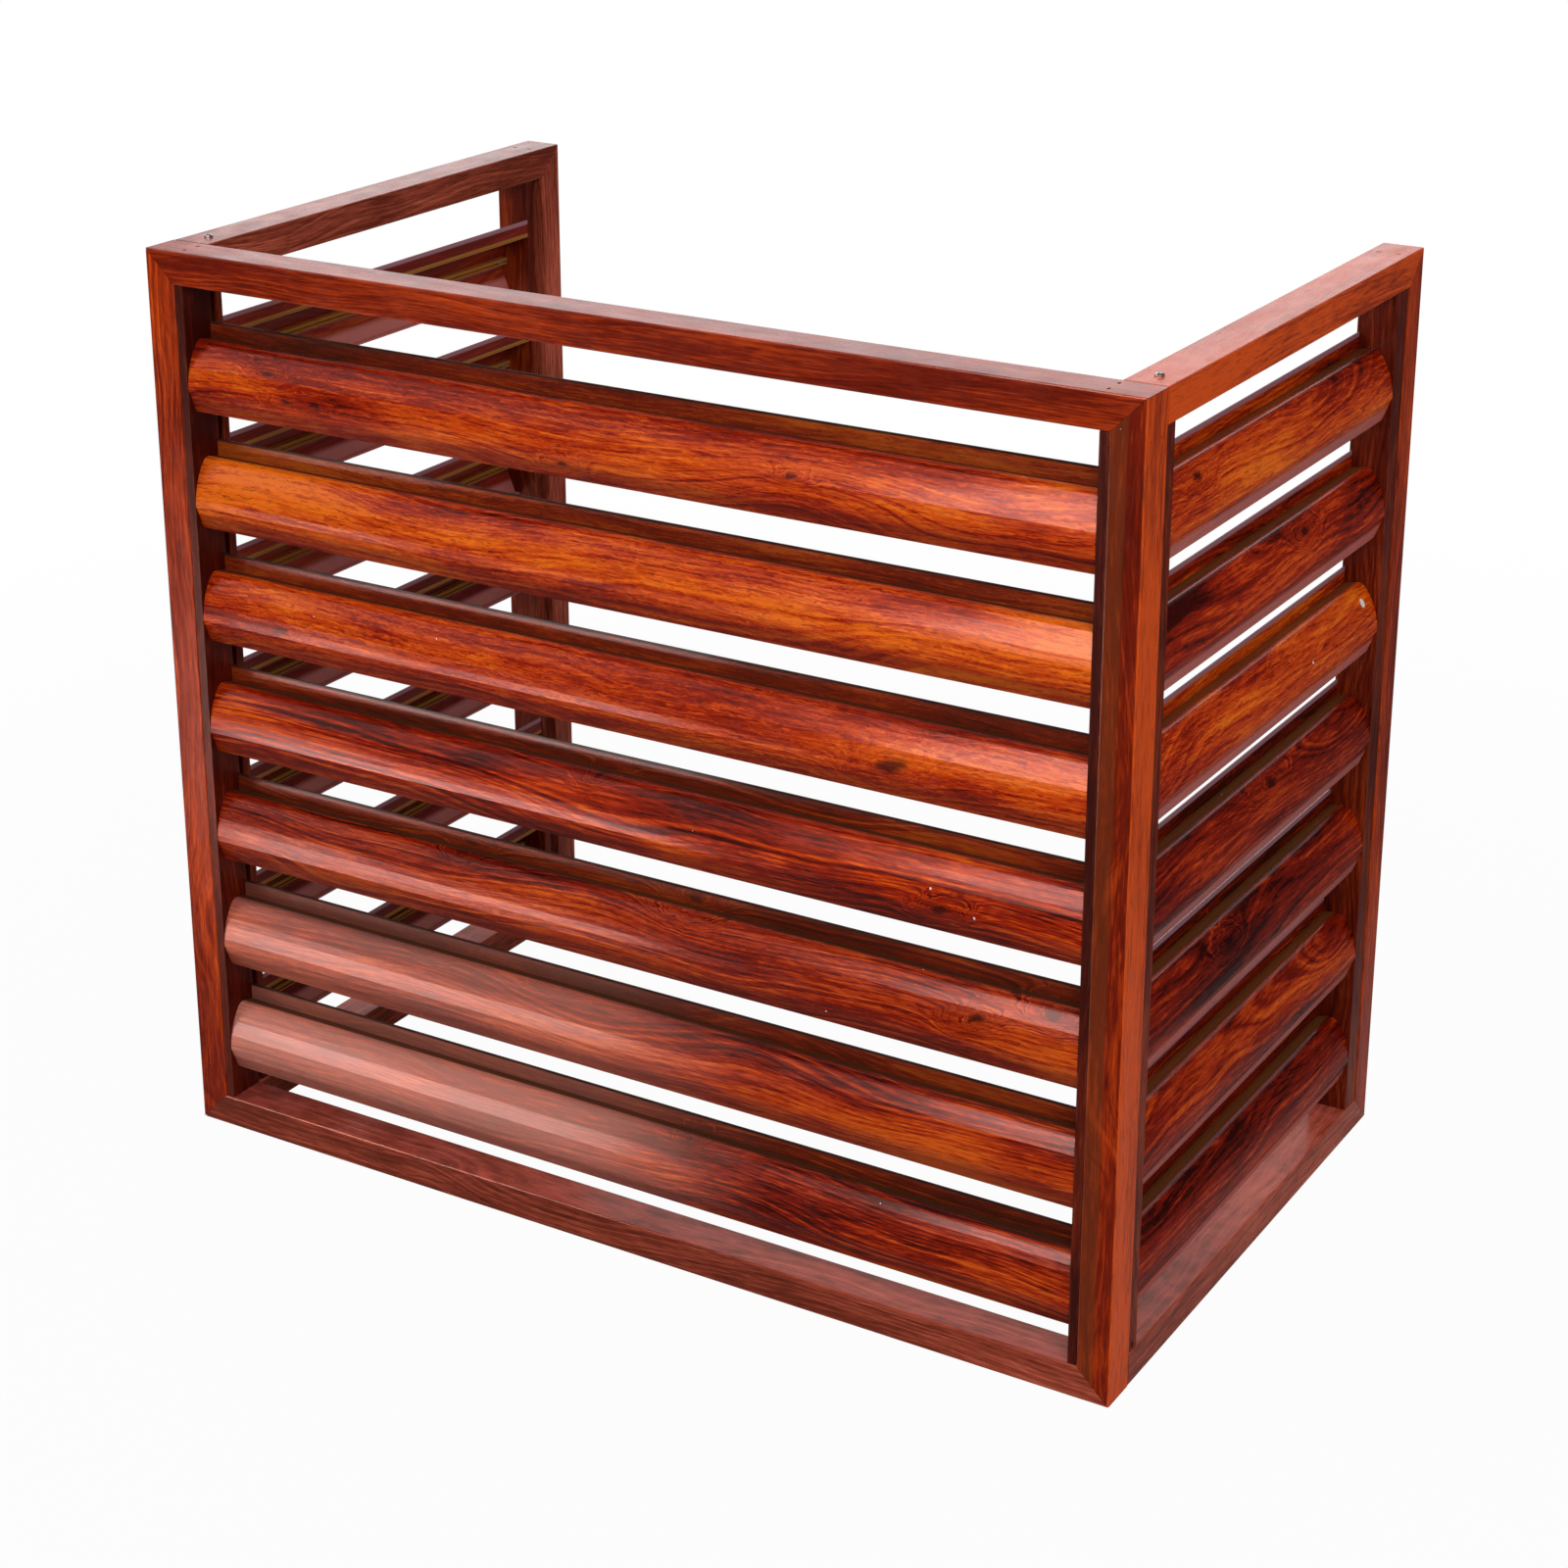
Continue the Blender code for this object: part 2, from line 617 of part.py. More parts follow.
def build_side(panel, key, slat, lock_screw, anchor_screw, front_rails):
    """A side panel, from its rear stile to the joint with the front panel."""
    name = panel.name
    foot = panel.place(0, TUBE_DEPTH / 2, 0)
    head = panel.place(0, TUBE_DEPTH / 2, SCREEN_HEIGHT)
    add_tube(f"{name}_rear_stile", panel, foot, panel.run, UP, SCREEN_HEIGHT, (True, True))
    levels = (("bottom", foot, UP, TUBE_FACE), ("top", head, -UP, SCREEN_HEIGHT))
    for (level, start, upright, lock_height), front_rail in zip(levels, front_rails):
        rail = add_tube(
            f"{name}_{level}_rail", panel, start, upright, panel.run, SIDE_LENGTH, (True, False)
        )
        corner = start - INWARD * (TUBE_DEPTH / 2)
        add_key(f"{name}_rear_{level}_key", key, panel, corner, panel.run, upright)
        middle_height = start.z + upright.z * TUBE_FACE / 2
        block = add_block(f"{name}_{level}_block", panel, middle_height)
        screw_name = f"{name}_{level}_lock_screw"
        add_lock_screw(screw_name, panel, lock_screw, lock_height, rail, block)
        screw_name = f"{name}_{level}_anchor_screw"
        anchor_height = start.z + upright.z * ANCHOR_FROM_EDGE
        add_anchor_screw(screw_name, panel, anchor_screw, anchor_height, block, front_rail)

    rear_width = SIDE_REAR_HOLDER_REACH - SEAT_GAP
    rear_side = TUBE_FACE + SEAT_GAP
    add_holder(f"{name}_rear_holder", panel, rear_side, panel.run, rear_width, HOLDER_LIP)
    front_width = SIDE_FRONT_HOLDER_REACH
    holder = add_holder(
        f"{name}_front_holder", panel, SIDE_LENGTH, -panel.run, front_width, HOLDER_LIP
    )
    cut_drain_notch(holder, panel, SIDE_LENGTH, -panel.run)
    opening_start = TUBE_FACE + SIDE_REAR_HOLDER_REACH
    opening_end = SIDE_LENGTH - SIDE_FRONT_HOLDER_REACH
    add_slats(panel, slat, (opening_start + opening_end) / 2)


def build_screen():
    """The whole screen, standing on the ground."""
    half_width, half_depth = SCREEN_WIDTH / 2, SCREEN_DEPTH / 2
    front = Panel("front", (-half_width, -half_depth, 0), 0, 1)
    left = Panel("left", (-half_width, half_depth, 0), -math.pi / 2, 1)
    right = Panel("right", (half_width, half_depth, 0), math.pi / 2, -1)
    key = key_mesh()
    front_rails = build_front(front, key)
    side_opening = SIDE_LENGTH - TUBE_FACE - SIDE_REAR_HOLDER_REACH - SIDE_FRONT_HOLDER_REACH
    slat = slat_mesh("side_slat", side_opening)
    lock_screw = screw_mesh("lock_screw", LOCK_LENGTH)
    anchor_length = BLOCK_LENGTH - ANCHOR_HEAD_SPACE + ANCHOR_REACH
    anchor_screw = screw_mesh("anchor_screw", anchor_length)
    for side in (left, right):
        build_side(side, key, slat, lock_screw, anchor_screw, front_rails)


build_screen()
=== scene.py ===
"""Finishes, slat screws, studio and camera for the louvre screen of an air conditioner."""

import logging
import math
from dataclasses import dataclass, replace
from enum import Enum
from functools import partial, reduce

import bmesh
import bpy
from mathutils import Matrix, Vector


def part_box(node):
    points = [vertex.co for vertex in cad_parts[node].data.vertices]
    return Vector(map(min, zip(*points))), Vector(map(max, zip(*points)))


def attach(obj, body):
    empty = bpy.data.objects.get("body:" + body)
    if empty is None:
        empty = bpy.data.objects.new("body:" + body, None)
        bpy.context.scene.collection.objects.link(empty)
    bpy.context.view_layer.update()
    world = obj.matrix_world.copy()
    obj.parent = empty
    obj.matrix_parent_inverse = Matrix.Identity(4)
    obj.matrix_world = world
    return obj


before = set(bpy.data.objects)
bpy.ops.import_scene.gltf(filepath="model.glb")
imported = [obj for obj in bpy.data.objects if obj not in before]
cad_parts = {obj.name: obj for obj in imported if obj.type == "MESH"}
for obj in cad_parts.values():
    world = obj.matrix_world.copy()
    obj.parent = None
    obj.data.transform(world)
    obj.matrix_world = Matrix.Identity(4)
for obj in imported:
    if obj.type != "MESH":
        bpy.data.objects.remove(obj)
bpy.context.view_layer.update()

LOG = logging.getLogger("screen")
BODY = "root"
ORIGIN = (0.0, 0.0, 0.0)

Colour = tuple[float, float, float]
Place = tuple[float, float, float]
Span = tuple[float, float]
Material = bpy.types.Material
Socket = bpy.types.NodeSocket
Source = Socket | float | tuple
Points = list[bmesh.types.BMVert]


class Kind(Enum):
    """What a socket of a shader node group carries."""

    VALUE = "NodeSocketFloat"
    COLOUR = "NodeSocketColor"
    PLACE = "NodeSocketVector"

    @classmethod
    def of(cls, default: float | tuple) -> "Kind":
        """The kind that fits a number, a place, or a colour with its alpha."""
        parts = len(default) if isinstance(default, tuple) else 1
        return {1: cls.VALUE, 3: cls.PLACE, 4: cls.COLOUR}[parts]


class GrainRun(Enum):
    """Which way the printed grain of a piece runs, as the order of its axes."""

    ALONG_FRONT = (0, 1, 2)
    ALONG_SIDE = (1, 0, 2)
    UPRIGHT = (2, 0, 1)

    def order(self, parts: list | tuple | Vector) -> list:
        """The three parts with the one along the grain first."""
        return [parts[axis] for axis in self.value]


# Wiring of node trees


class Wiring:
    """Short ways to add and join the nodes of one node tree."""

    def __init__(self, tree: bpy.types.NodeTree) -> None:
        """Keeps the tree that the nodes go into."""
        self.tree = tree

    def node(self, kind: str, *sources: Source, **settings: object) -> bpy.types.Node:
        """Adds a node.

        Args:
            kind: The node's type.
            sources: What its first inputs get.
            settings: Properties to set on it.

        Returns:
            The node.
        """
        made = self.tree.nodes.new(kind)
        for name, value in settings.items():
            setattr(made, name, value)
        for socket, source in zip(made.inputs, sources):
            self.feed(socket, source)
        return made

    def feed(self, socket: Socket, source: Source) -> None:
        """Joins a source to an input, or sets the input to a plain value.

        Args:
            socket: The input.
            source: Another node's output, or a value.
        """
        if isinstance(source, Socket):
            self.tree.links.new(source, socket)
        elif socket.type == "RGBA" and len(source) == 3:
            socket.default_value = (*source, 1.0)
        else:
            socket.default_value = source

    def fill(self, node: bpy.types.Node, **values: Source) -> None:
        """Feeds a node's inputs, by name with underscores for blanks."""
        for title, source in values.items():
            self.feed(node.inputs[title.replace("_", " ")], source)

    def group(self, name: str, **values: Source) -> dict[str, Socket]:
        """Places one of the shared node groups.

        Args:
            name: The group's name.
            values: What its inputs get.

        Returns:
            Its outputs, by name.
        """
        made = self.node("ShaderNodeGroup", node_tree=bpy.data.node_groups[name])
        self.fill(made, **values)
        return {socket.name: socket for socket in made.outputs}

    def math(self, operation: str, first: Source, second: Source = 0.0) -> Socket:
        """The result of a Math node."""
        return self.node("ShaderNodeMath", first, second, operation=operation).outputs[0]

    def plus(self, *values: Source) -> Source:
        """The sum of the values, added in order."""
        return reduce(partial(self.math, "ADD"), values)

    def times(self, *values: Source) -> Source:
        """The product of the values, multiplied in order."""
        return reduce(partial(self.math, "MULTIPLY"), values)

    def minus(self, first: Source, second: Source) -> Socket:
        """The first value less the second one."""
        return self.math("SUBTRACT", first, second)

    def most(self, first: Source, second: Source) -> Socket:
        """The higher of two values."""
        return self.math("MAXIMUM", first, second)

    def gap(self, value: Source, centre: Source) -> Socket:
        """How far a value is from a centre, on either side."""
        return self.math("ABSOLUTE", self.minus(value, centre))

    def swing(self, value: Source, weight: Source) -> Socket:
        """A noise's value taken about 0, times its weight."""
        return self.times(self.minus(value, 0.5), weight)

    def vector(self, operation: str, first: Source, second: Source = ORIGIN) -> Socket:
        """The result of a Vector Math node, a value for LENGTH and DOT_PRODUCT."""
        made = self.node("ShaderNodeVectorMath", first, second, operation=operation)
        return made.outputs["Value" if operation in ("LENGTH", "DOT_PRODUCT") else "Vector"]

    def split(self, place: Source) -> list[Socket]:
        """The three parts of a vector."""
        return list(self.node("ShaderNodeSeparateXYZ", place).outputs)

    def join(self, *parts: Source) -> Socket:
        """The vector that has these three parts."""
        return self.node("ShaderNodeCombineXYZ", *parts).outputs[0]

    def noise(
        self, place: Source, scale: Place, detail: float = 2, roughness: float = 0.5, distortion: float = 0
    ) -> Socket:
        """Adds a solid noise with its own scale along each axis.

        Args:
            place: Where it is read, in metres.
            scale: How many times it repeats in a metre, along each axis.
            detail: How many finer layers it has.
            roughness: How strong those are.
            distortion: How much it curls.

        Returns:
            Its value.
        """
        made = self.node("ShaderNodeTexNoise", noise_dimensions="3D")
        self.fill(made, Vector=self.vector("MULTIPLY", place, scale), Scale=1.0)
        self.fill(made, Detail=detail, Roughness=roughness, Distortion=distortion)
        return made.outputs["Fac"]

    def ease(self, value: Source, low: Source, high: Source) -> Socket:
        """A smooth step of the value, 0 up to low and 1 from high on."""
        made = self.node("ShaderNodeMapRange", value, low, high, interpolation_type="SMOOTHSTEP")
        return made.outputs["Result"]

    def mix(self, share: Source, first: Source, second: Source, kind: Kind = Kind.COLOUR) -> Socket:
        """Mixes two colours or two places.

        Args:
            share: How much of the second one shows.
            first: The first one.
            second: The second one.
            kind: What they are.

        Returns:
            The mixture.
        """
        data_type, start, end = ("RGBA", 6, 2) if kind is Kind.COLOUR else ("VECTOR", 4, 1)
        made = self.node("ShaderNodeMix", share, data_type=data_type, clamp_factor=True)
        self.feed(made.inputs[start], first)
        self.feed(made.inputs[start + 1], second)
        return made.outputs[end]

    def wobble(self, place: Source, scale: Place, reach: Place) -> Socket:
        """Moves a place about by a solid noise.

        Args:
            place: The place, in metres.
            scale: How many times the noise repeats in a metre, along each axis.
            reach: How far it moves the place along each axis, in metres.

        Returns:
            The moved place.
        """
        cloud = self.noise(place, scale, detail=1.0).node.outputs["Color"]
        centred = self.vector("SUBTRACT", cloud, (0.5, 0.5, 0.5))
        return self.vector("ADD", place, self.vector("MULTIPLY", centred, reach))

    def bump(self, height: Source, strength: float, distance: float) -> Socket:
        """Adds a Bump node.

        Args:
            height: The relief.
            strength: How strong it is.
            distance: How deep it is, in metres.

        Returns:
            The bent normal.
        """
        made = self.node("ShaderNodeBump")
        self.fill(made, Strength=strength, Distance=distance, Height=height)
        return made.outputs["Normal"]


def new_material(name: str) -> tuple[Material, Wiring, bpy.types.Node]:
    """Starts a material.

    Args:
        name: Its name.

    Returns:
        The material, its wiring and its shader.
    """
    made = bpy.data.materials.new(name)
    made.use_nodes = True
    return made, Wiring(made.node_tree), made.node_tree.nodes["Principled BSDF"]


# Effects that the finishes share


class Effects:
    """The shader node groups, each built once and placed in every material that uses it."""

    def build(self) -> None:
        """Builds the groups."""
        self.build_knot()
        self.build_print()
        self.build_rub()
        self.build_chip()
        self.build_specks()
        self.build_dust_and_sheen()
        self.build_rib_highlights_and_shade()
        self.build_metal()
        LOG.info("built the effects")

    def open_group(
        self, name: str, outputs: tuple[str, ...], **inputs: float | tuple
    ) -> tuple[Wiring, dict[str, Socket], bpy.types.Node]:
        """Starts a group with named sockets.

        Args:
            name: The group's name.
            outputs: Its outputs. The one called Color is a colour and the rest are values.
            inputs: The default of each input, which also tells its kind.

        Returns:
            The group's wiring, its inputs by name, and its output node.
        """
        tree = bpy.data.node_groups.new(name, "ShaderNodeTree")
        for title, default in inputs.items():
            socket = tree.interface.new_socket(title, in_out="INPUT", socket_type=Kind.of(default).value)
            socket.default_value = default
        for title in outputs:
            kind = Kind.COLOUR if title == "Color" else Kind.VALUE
            tree.interface.new_socket(title, in_out="OUTPUT", socket_type=kind.value)
        net = Wiring(tree)
        entry = net.node("NodeGroupInput")
        return net, {s.name: s for s in entry.outputs if s.name}, net.node("NodeGroupOutput")

    def build_knot(self) -> None:
        """Rings that the grain makes round a knot, and the knot's dark heart."""
        net, entry, leave = self.open_group(
            "knot_swirl", ("Lift", "Heart"), Place=ORIGIN, Along=0.0, Height=0.0, Size=0.01, Slant=0.0
        )
        shaken = net.wobble(entry["Place"], (90, 190, 190), (0.012, 0.006, 0.006))
        along, _, height = net.split(shaken)
        off_along = net.minus(along, entry["Along"])
        off_height = net.minus(height, entry["Height"])
        off_height = net.minus(off_height, net.times(off_along, entry["Slant"]))
        flat = net.join(net.times(off_along, 0.42), off_height, 0.0)
        reach = net.math("DIVIDE", net.vector("LENGTH", flat), entry["Size"])
        fall = net.math("EXPONENT", net.times(reach, reach, -0.22))
        net.fill(leave, Lift=net.times(fall, 0.06), Heart=net.ease(reach, 1.15, 0.30))

    def build_print(self) -> None:
        """The printed rosewood: bands that bend round the knots, squiggly fibres and pores."""
        net, entry, leave = self.open_group(
            "rosewood_print", ("Color", "Relief", "Dullness"),
            Place=ORIGIN, Lift=0.0, Heart=0.0, Seed=0.0, Squiggle=0.5, Bands=1.0, Patches=1.0, Tone=0.0,
            Contrast=1.0, Deep=(0.03, 0.003, 0.002, 1.0), Red=(0.2, 0.012, 0.004, 1.0),
            Orange=(0.5, 0.085, 0.006, 1.0), Amber=(0.72, 0.22, 0.02, 1.0),
        )
        shift = net.join(*[net.times(entry["Seed"], step) for step in (1.731, 0.377, 0.613)])
        place = net.vector("ADD", entry["Place"], shift)
        drift = net.wobble(place, (4.5, 16, 16), (0.0, 0.016, 0.016))
        curl = net.wobble(drift, (110, 230, 230), (0.005, 0.0038, 0.0038))
        curled = net.mix(entry["Squiggle"], drift, curl, Kind.PLACE)

        _, depth, height = net.split(drift)
        sway = net.noise(place, (3.4, 9, 9), detail=1.5)
        level = net.plus(height, net.times(depth, 0.6), net.times(sway, 0.07), entry["Lift"])
        rings = net.node("ShaderNodeTexNoise", noise_dimensions="1D")
        net.fill(rings, W=level, Scale=300.0, Detail=3.0, Roughness=0.62)
        fibre = net.noise(curled, (27, 430, 430), 3.0, 0.6, 0.5)
        hair = net.noise(curled, (70, 1100, 1100), 1.0)
        patch = net.noise(drift, (6.5, 38, 38))
        field = net.noise(place, (2.6, 9, 9), 1.0)
        layers = (
            (rings.outputs["Fac"], net.times(entry["Bands"], 1.45)),
            (fibre, 1.8),
            (hair, 0.7),
            (patch, net.times(entry["Patches"], 1.9)),
            (field, net.times(entry["Patches"], 1.5)),
        )
        total = net.plus(*[net.swing(value, weight) for value, weight in layers])
        tone = net.plus(net.times(total, entry["Contrast"]), entry["Tone"], 0.5)
        colour = entry["Deep"]
        for title, low, high in (("Red", -0.30, 0.42), ("Orange", 0.35, 0.7), ("Amber", 0.62, 1.35)):
            colour = net.mix(net.ease(tone, low, high), colour, entry[title])

        pores = net.ease(net.noise(curled, (48, 950, 950), 1.0, 0.4), 0.57, 0.70)
        hollow = net.most(net.times(pores, 0.42), net.times(entry["Heart"], 0.85))
        dark = net.mix(0.5, entry["Deep"], (0.006, 0.001, 0.001))
        relief = net.minus(net.times(fibre, 0.6), net.times(pores, 0.4))
        dullness = net.noise(place, (30, 70, 70), 3.0)
        net.fill(leave, Color=net.mix(hollow, colour, dark), Relief=relief, Dullness=dullness)

    def build_rub(self) -> None:
        """Print that is rubbed thin along the long edges of a box-shaped piece."""
        net, entry, leave = self.open_group(
            "edge_rub", ("Mask",), Place=ORIGIN, Half=(1.0, 1.0, 1.0), Width=0.002, Amount=0.5, Seed=0.0
        )
        away = net.vector("SUBTRACT", entry["Half"], net.vector("ABSOLUTE", entry["Place"]))
        _, first, second = net.split(away)
        line = net.ease(net.most(first, second), entry["Width"], 0.0004)
        shift = net.join(entry["Seed"], net.times(entry["Seed"], 0.7), 0.0)
        worn = net.noise(net.vector("ADD", entry["Place"], shift), (45, 260, 260), 3.0, 0.6)
        net.fill(leave, Mask=net.times(line, net.ease(worn, 0.40, 0.66), entry["Amount"]))

    def build_chip(self) -> None:
        """A ragged spot where the print is knocked off."""
        net, entry, leave = self.open_group(
            "paint_chip", ("Mask",), Place=ORIGIN, Centre=ORIGIN, Radius=0.002
        )
        ragged = net.wobble(entry["Place"], (420, 420, 420), (0.003, 0.003, 0.003))
        away = net.vector("LENGTH", net.vector("SUBTRACT", ragged, entry["Centre"]))
        near = net.math("DIVIDE", away, entry["Radius"])
        net.fill(leave, Mask=net.ease(near, 1.0, 0.75))

    def build_specks(self) -> None:
        """Small scattered nicks and fine scratches."""
        net, entry, leave = self.open_group(
            "nicks_and_scratches", ("Nicks", "Scratches"), Place=ORIGIN, Seed=0.0, Density=18.0, Size=0.0009
        )
        shift = net.join(entry["Seed"], *[net.times(entry["Seed"], step) for step in (1.9, 0.4)])
        place = net.vector("ADD", entry["Place"], shift)
        dots = net.node("ShaderNodeTexVoronoi", feature="F1", distance="EUCLIDEAN")
        net.fill(dots, Vector=place, Scale=entry["Density"], Randomness=1.0)
        real = net.math("DIVIDE", dots.outputs["Distance"], entry["Density"])
        size = net.times(entry["Size"], net.split(dots.outputs["Color"])[0])
        ratio = net.math("DIVIDE", real, net.plus(size, 0.00005))
        swept = net.wobble(place, (9, 9, 9), (0.02, 0.05, 0.05))
        lines = net.noise(swept, (14, 900, 900), 0.0)
        where = net.noise(place, (11, 16, 16), 1.0)
        thin = net.ease(net.gap(lines, 0.5), 0.012, 0.0)
        scratches = net.times(thin, net.ease(where, 0.60, 0.70))
        net.fill(leave, Nicks=net.ease(ratio, 1.0, 0.7), Scratches=scratches)

    def build_dust_and_sheen(self) -> None:
        """Fine dust that settles on what faces up, in a pink that also paints the sheen of the top faces."""
        net, entry, leave = self.open_group("dust_and_top_sheen", ("Mask",), Place=ORIGIN, Amount=0.1)
        facing = net.split(net.node("ShaderNodeNewGeometry").outputs["Normal"])[2]
        cloudy = net.noise(entry["Place"], (38, 60, 60), 3.0, 0.6)
        grainy = net.noise(entry["Place"], (900, 900, 900), 1.0)
        veil = net.times(net.ease(facing, 0.75, 1.0), net.ease(cloudy, 0.2, 0.8))
        veil = net.times(veil, net.plus(0.8, net.times(grainy, 0.4)), entry["Amount"])
        net.fill(leave, Mask=veil)

    def build_rib_highlights_and_shade(self) -> None:
        """Painted gold highlights on the ribs along the back of a slat, and painted shade in the furrows
        beside them.
        """
        net, entry, leave = self.open_group(
            "rib_highlights_and_shade", ("Back", "Gold", "Furrow"), Height=0.0, Inward=0.0, Lower=0.029, Upper=0.055
        )
        back = net.ease(entry["Inward"], 0.1, 0.3)
        highlight: Source = 0.0
        painted_furrow_shade: Source = 0.0
        for rib in (entry["Lower"], entry["Upper"]):
            above = net.minus(entry["Height"], rib)
            highlight = net.most(highlight, net.ease(net.gap(above, 0.0008), 0.0040, 0.0026))
            painted_furrow_shade = net.most(painted_furrow_shade, net.ease(net.gap(above, -0.0046), 0.0022, 0.0012))
        net.fill(leave, Back=back, Gold=net.times(highlight, back), Furrow=net.times(painted_furrow_shade, back))

    def build_metal(self) -> None:
        """Plated or cast metal: a mottled skin, tool marks and grime."""
        net, entry, leave = self.open_group(
            "metal_skin", ("Color", "Relief", "Roughness"),
            Place=ORIGIN, Seed=0.0, Scale=1.0, Light=(0.7, 0.7, 0.7, 1.0), Dull=(0.4, 0.4, 0.4, 1.0),
        )
        place = net.vector("ADD", entry["Place"], net.join(*[entry["Seed"]] * 3))
        scaled = net.vector("SCALE", place)
        net.feed(scaled.node.inputs["Scale"], entry["Scale"])
        mottle = net.noise(scaled, (170, 170, 170), 4.0, 0.6)
        marks = net.noise(scaled, (260, 1900, 1900))
        share = net.ease(net.plus(mottle, net.times(marks, 0.3)), 0.5, 0.85)
        relief = net.plus(net.times(mottle, 0.6), net.times(marks, 0.4))
        rough = net.plus(0.22, net.times(share, 0.3))
        skin = net.mix(share, entry["Light"], entry["Dull"])
        net.fill(leave, Color=skin, Relief=relief, Roughness=rough)


# Finishes


@dataclass(frozen=True)
class Palette:
    """The four colours of a wood print, from its dark lines to its lightest fibres."""

    deep: Colour
    red: Colour
    orange: Colour
    amber: Colour


SLAT_COLOURS = Palette(
    (0.045, 0.0020, 0.0010), (0.300, 0.0130, 0.0016), (0.560, 0.048, 0.0028), (0.880, 0.165, 0.0075)
)
RUBY_COLOURS = Palette(
    (0.028, 0.0014, 0.0008), (0.210, 0.0085, 0.0018), (0.400, 0.030, 0.0030), (0.680, 0.105, 0.0070)
)
TUBE_COLOURS = Palette(
    (0.075, 0.0040, 0.0010), (0.185, 0.0105, 0.0016), (0.350, 0.029, 0.0026), (0.740, 0.084, 0.0045)
)
DULL_COLOURS = Palette(
    (0.070, 0.0120, 0.0070), (0.185, 0.0280, 0.0130), (0.320, 0.055, 0.0280), (0.600, 0.125, 0.0700)
)
BACK_COLOURS = Palette(
    (0.040, 0.0030, 0.0016), (0.115, 0.0095, 0.0030), (0.220, 0.025, 0.0045), (0.38, 0.060, 0.008)
)


@dataclass(frozen=True)
class Knot:
    """A knot in the print, at a place along the grain and a height, in metres."""

    along: float
    height: float
    size: float
    slant: float = 0.0


@dataclass(frozen=True)
class Chip:
    """A spot where the print has come off, at a place on the screen, in metres."""

    place: Place
    radius: float


@dataclass(frozen=True)
class SlatEdges:
    """Painted shade, sheen and highlights over the lip, shelf, chin and back of a slat.

    Each span says where a paint is still missing and where it is full, in metres above the slat's
    foot, behind its face or from the shelf's middle.
    """

    lip_rise: Span = (0.0565, 0.0575)
    lip_depth: Span = (0.0312, 0.0316)
    # Painted shade: the upright lip is darkened towards brown, where the slat above shades it.
    lip_shade: float = 0.6
    lip_shade_colour: Colour = (0.085, 0.019, 0.008)
    # The lip's top edge: a dark line of painted shade on the front slats, a mauve painted sheen on the side
    # slats.
    edge_rise: Span = (0.0690, 0.0704)
    edge_shade_and_sheen_colour: Colour = (0.014, 0.005, 0.003)
    # Painted shade on the shelf behind the crown, where the lip shades it; it is also made matt.
    shelf_height: float = 0.0583
    shelf_reach: Span = (0.0024, 0.0018)
    shelf_depth: Span = (0.0205, 0.0225)
    shelf_shade: float = 0.8
    shelf_shade_colour: Colour = (0.020, 0.006, 0.003)
    # The chin: painted shade on the front slats, a painted pink reflection of the floor on the side slats.
    chin_fall: Span = (0.0155, 0.0095)
    chin_shade_and_sheen: float = 0.5
    chin_shade_and_sheen_colour: Colour = (0.075, 0.0060, 0.0030)
    back_shade: float = 0.75
    back_colour: Colour = (0.170, 0.0170, 0.0130)
    # Painted highlights: gold on the ribs of the slat's back; painted shade in the furrows beside them.
    rib_highlight_share: float = 0.85
    rib_highlight_colour: Colour = (0.430, 0.180, 0.035)
    furrow_shade: float = 0.7

    def shade(
        self, net: Wiring, height: Source, depth: Source, inward: Source, colour: Source
    ) -> tuple[Socket, Socket]:
        """Paints shade, sheen and highlights over a slat's print.

        Args:
            net: The material's wiring.
            height: The height above the slat's foot.
            depth: How far behind the slat's foremost line.
            inward: How much the surface looks inward, from -1 to 1.
            colour: The print's colour.

        Returns:
            The shaded colour, and the mask of what has no gloss.
        """
        lip = net.times(net.ease(height, *self.lip_rise), net.ease(depth, *self.lip_depth))
        edge = net.ease(height, *self.edge_rise)
        level = net.ease(net.gap(height, self.shelf_height), *self.shelf_reach)
        shelf = net.times(level, net.ease(depth, *self.shelf_depth), net.minus(1.0, lip))
        ribs = net.group("rib_highlights_and_shade", Height=height, Inward=inward)
        # Painted shade, sheen and highlights, each mixed over the colour beneath.
        shades = (
            (ribs["Back"], self.back_shade, self.back_colour),
            (ribs["Gold"], self.rib_highlight_share, self.rib_highlight_colour),
            (ribs["Furrow"], self.furrow_shade, self.edge_shade_and_sheen_colour),
            (net.ease(height, *self.chin_fall), self.chin_shade_and_sheen, self.chin_shade_and_sheen_colour),
            (lip, self.lip_shade, self.lip_shade_colour),
            (shelf, self.shelf_shade, self.shelf_shade_colour),
            (edge, 1.0, self.edge_shade_and_sheen_colour),
        )
        for mask, share, paint in shades:
            colour = net.mix(net.times(mask, share), colour, paint)
        return colour, net.most(shelf, edge)


